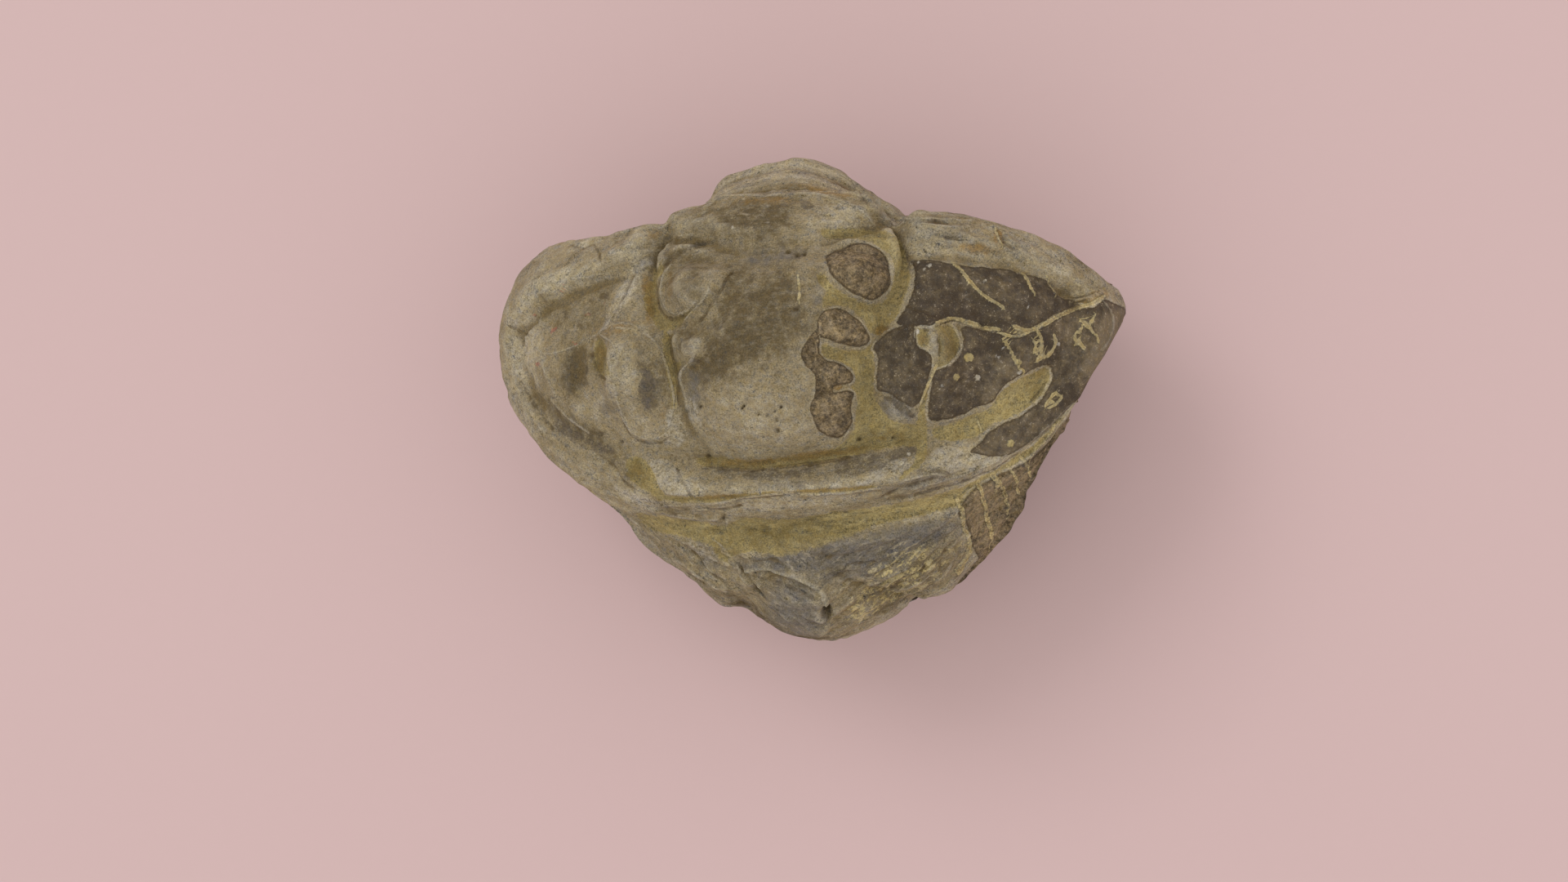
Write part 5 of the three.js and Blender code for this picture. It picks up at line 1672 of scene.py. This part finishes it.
        # Painted shade where the surface lies below its neighbourhood, painted highlight where it stands
        # above it
        low = self.hollow.step(0.02, 0.14) * (0.62 - self.on_mud * 0.3)
        high = (0.0 - self.hollow).step(0.03, 0.17) * (0.4 - self.on_mud * 0.25)
        colour = self.layers(
            colour,
            ((self.red + grain * 1.2 + blotch).step(0.4, 0.75) * 0.6, paints.red),
            (low * bare, paints.hollow),
            (high * bare, paints.crest),
            # Painted shade in the pits and in the tail's hole
            (self.pit.at_most(1.0) * 0.85, paints.crack_and_shadow),
            ((grain + blotch * 0.5 + fine * 0.5).step(0.13, 0.2) * bare * 0.45, paints.crack_and_shadow),
            ((0.0 - grain - fine * 0.6).step(0.12, 0.2) * (0.4 - self.on_lobe * 0.2), paints.rim),
        )
        uneven = grain * 2.6 + self.streak * 2.4 + fine * 2.2 + blotch * 0.6
        tint = 1.09 + uneven * (1.0 - self.on_shell * 0.5)
        warm = (tint + self.hue * 0.3, tint, tint - self.hue * 1.0)
        tinted = self.node("ShaderNodeCombineColor", {}, *warm).outputs[0]
        return self.blend(1.0, colour, tinted, Blend.DARKEN)

    def height(self) -> Value:
        """Height of the bump, mm: what stands proud or low in colour also does so here."""
        height = self.blotch * 0.14 + self.grain * 0.18 + self.streak * 0.26
        height = height + self.flaked * self.comb * 0.12 + self.fine * 0.04
        height = height + self.on_vein * 0.05 + self.on_ridge * 0.05 - self.on_crack_and_shadow * 0.06
        height = height - self.pit * 0.15 + self.on_shell * 0.04 + self.on_lobe * 0.04
        return height - self.on_mud * 0.02 + self.on_speck * 0.03

    def build(self) -> bpy.types.Material:
        """Lays the colours over one another and sets the shader's inputs."""
        colour = self.layers(
            self.bare_stone(),
            (self.on_mud, self.mud()),
            (self.on_shell, self.shell()),
            (self.on_lobe, self.lobe()),
        )
        colour = self.weathered_with_painted_light(self.with_lines(self.with_rims(colour)))
        rough = self.paints.roughness - self.on_shell * 0.12 + self.grain * 0.2
        bump = self.node("ShaderNodeBump", {}, 1.0, MILLIMETRE, None, self.height())
        self.links.new(colour, self.surface.inputs["Base Color"])
        self.links.new(rough.socket, self.surface.inputs["Roughness"])
        self.links.new(bump.outputs["Normal"], self.surface.inputs["Normal"])
        self.surface.inputs["Specular IOR Level"].default_value = self.paints.gloss
        return self.material


@dataclass(frozen=True)
class FloorFinish:
    """A plain pale studio sheet."""

    name: str = "pale_floor"
    colour: Paint = paint(209, 181, 180)
    shade: float = 0.99
    grain_scale: float = 0.9
    roughness: float = 0.95
    gloss: float = 0.1

    def make(self) -> bpy.types.Material:
        """Builds the floor's material: one colour with a very faint grain."""
        s = Shader(self.name)
        own = s.node("ShaderNodeTexCoord", {}).outputs["Object"]
        grain = s.noise(own, self.grain_scale / MILLIMETRE, 2.0) + 0.5
        red, green, blue, _ = self.colour
        shaded = (red * self.shade, green * self.shade, blue * self.shade, 1.0)
        s.links.new(s.blend(grain, self.colour, shaded), s.surface.inputs["Base Color"])
        s.surface.inputs["Roughness"].default_value = self.roughness
        s.surface.inputs["Specular IOR Level"].default_value = self.gloss
        return s.material


@dataclass(frozen=True)
class Lamp:
    """A soft square lamp: its name, place and side in metres, and its power in watts."""

    name: str
    place: tuple[float, float, float]
    side: float
    power: float


@dataclass
class Studio:
    """Floor, soft lights and camera; lengths are in metres, those of the lens in mm."""

    stone: Stone
    floor_size: float = 1.2
    lens: float = 150.0
    sensor: float = 36.0
    sees: tuple[float, float] = (0.01, 10.0)
    sky: float = 0.86
    sky_colour: Paint = (1.0, 0.98, 0.96, 1.0)
    aim: tuple[float, float, float] = (0.0, 0.0, 0.012)
    lamps: Sequence[Lamp] = (
        Lamp("key", (-1.1, 1.5, 2.4), 1.4, 17.0),
        Lamp("fill", (1.9, -0.3, 2.2), 2.0, 6.0),
    )

    def floor(self) -> bpy.types.Object:
        """A level square that the stone lies on."""
        h = self.floor_size / 2
        mesh = bpy.data.meshes.new("floor")
        mesh.from_pydata([(-h, -h, 0), (h, -h, 0), (h, h, 0), (-h, h, 0)], [], [(0, 1, 2, 3)])
        mesh.materials.append(FloorFinish().make())
        floor = bpy.data.objects.new("floor", mesh)
        bpy.context.scene.collection.objects.link(floor)
        return floor

    def viewpoint(self) -> Matrix:
        """Where the sheet's viewer stands, in the part frame and in metres."""
        sheet = self.stone.sheet
        right, up, back = sheet.axes()
        target = sheet.middle[0] * right + sheet.middle[1] * up
        eye = target + sheet.away * back - np.array([0.0, *self.stone.heart])
        eye = (eye + np.array(self.stone.heart_at)) * MILLIMETRE
        turned = Matrix((right, up, back)).transposed().to_4x4()
        turned.translation = Vector(eye)
        return turned

    def camera(self) -> bpy.types.Object:
        """A long lens at the sheet's viewpoint, made the scene's camera."""
        data = bpy.data.cameras.new("camera")
        data.lens = self.lens
        data.sensor_width = self.sensor
        data.clip_start, data.clip_end = self.sees
        camera = bpy.data.objects.new("camera", data)
        camera.matrix_world = self.viewpoint()
        bpy.context.scene.collection.objects.link(camera)
        bpy.context.scene.camera = camera
        return camera

    def light(self, lamp: Lamp) -> None:
        """Hangs a lamp that looks at the stone."""
        data = bpy.data.lights.new(lamp.name, "AREA")
        data.size = lamp.side
        data.energy = lamp.power
        light = bpy.data.objects.new(lamp.name, data)
        light.location = lamp.place
        way = Vector(self.aim) - Vector(lamp.place)
        light.rotation_euler = way.to_track_quat("-Z", "Y").to_euler()
        bpy.context.scene.collection.objects.link(light)

    def build(self) -> None:
        """Sets the stone on its floor, under an even sky, a soft key and a softer fill."""
        self.floor()
        self.camera()
        world = bpy.data.worlds.new("studio")
        bpy.context.scene.world = world
        world.use_nodes = True
        sky = world.node_tree.nodes["Background"]
        sky.inputs["Color"].default_value = self.sky_colour
        sky.inputs["Strength"].default_value = self.sky
        for lamp in self.lamps:
            self.light(lamp)
        bpy.context.scene.view_settings.view_transform = "Standard"


def main() -> None:
    """Builds the stone and its studio."""
    logging.basicConfig(level=logging.INFO, format="%(name)s: %(message)s")
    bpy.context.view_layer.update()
    trilobite = Trilobite()
    piece = trilobite.build()
    piece.data.materials.append(FossilFinish().make())
    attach(piece, "root")
    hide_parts("trilobite")
    log.info("%s: %d points", piece.name, len(piece.data.vertices))
    Studio(trilobite.stone).build()
    log.info("studio: floor, two lamps, sky and camera")


if __name__ == "__main__":
    main()
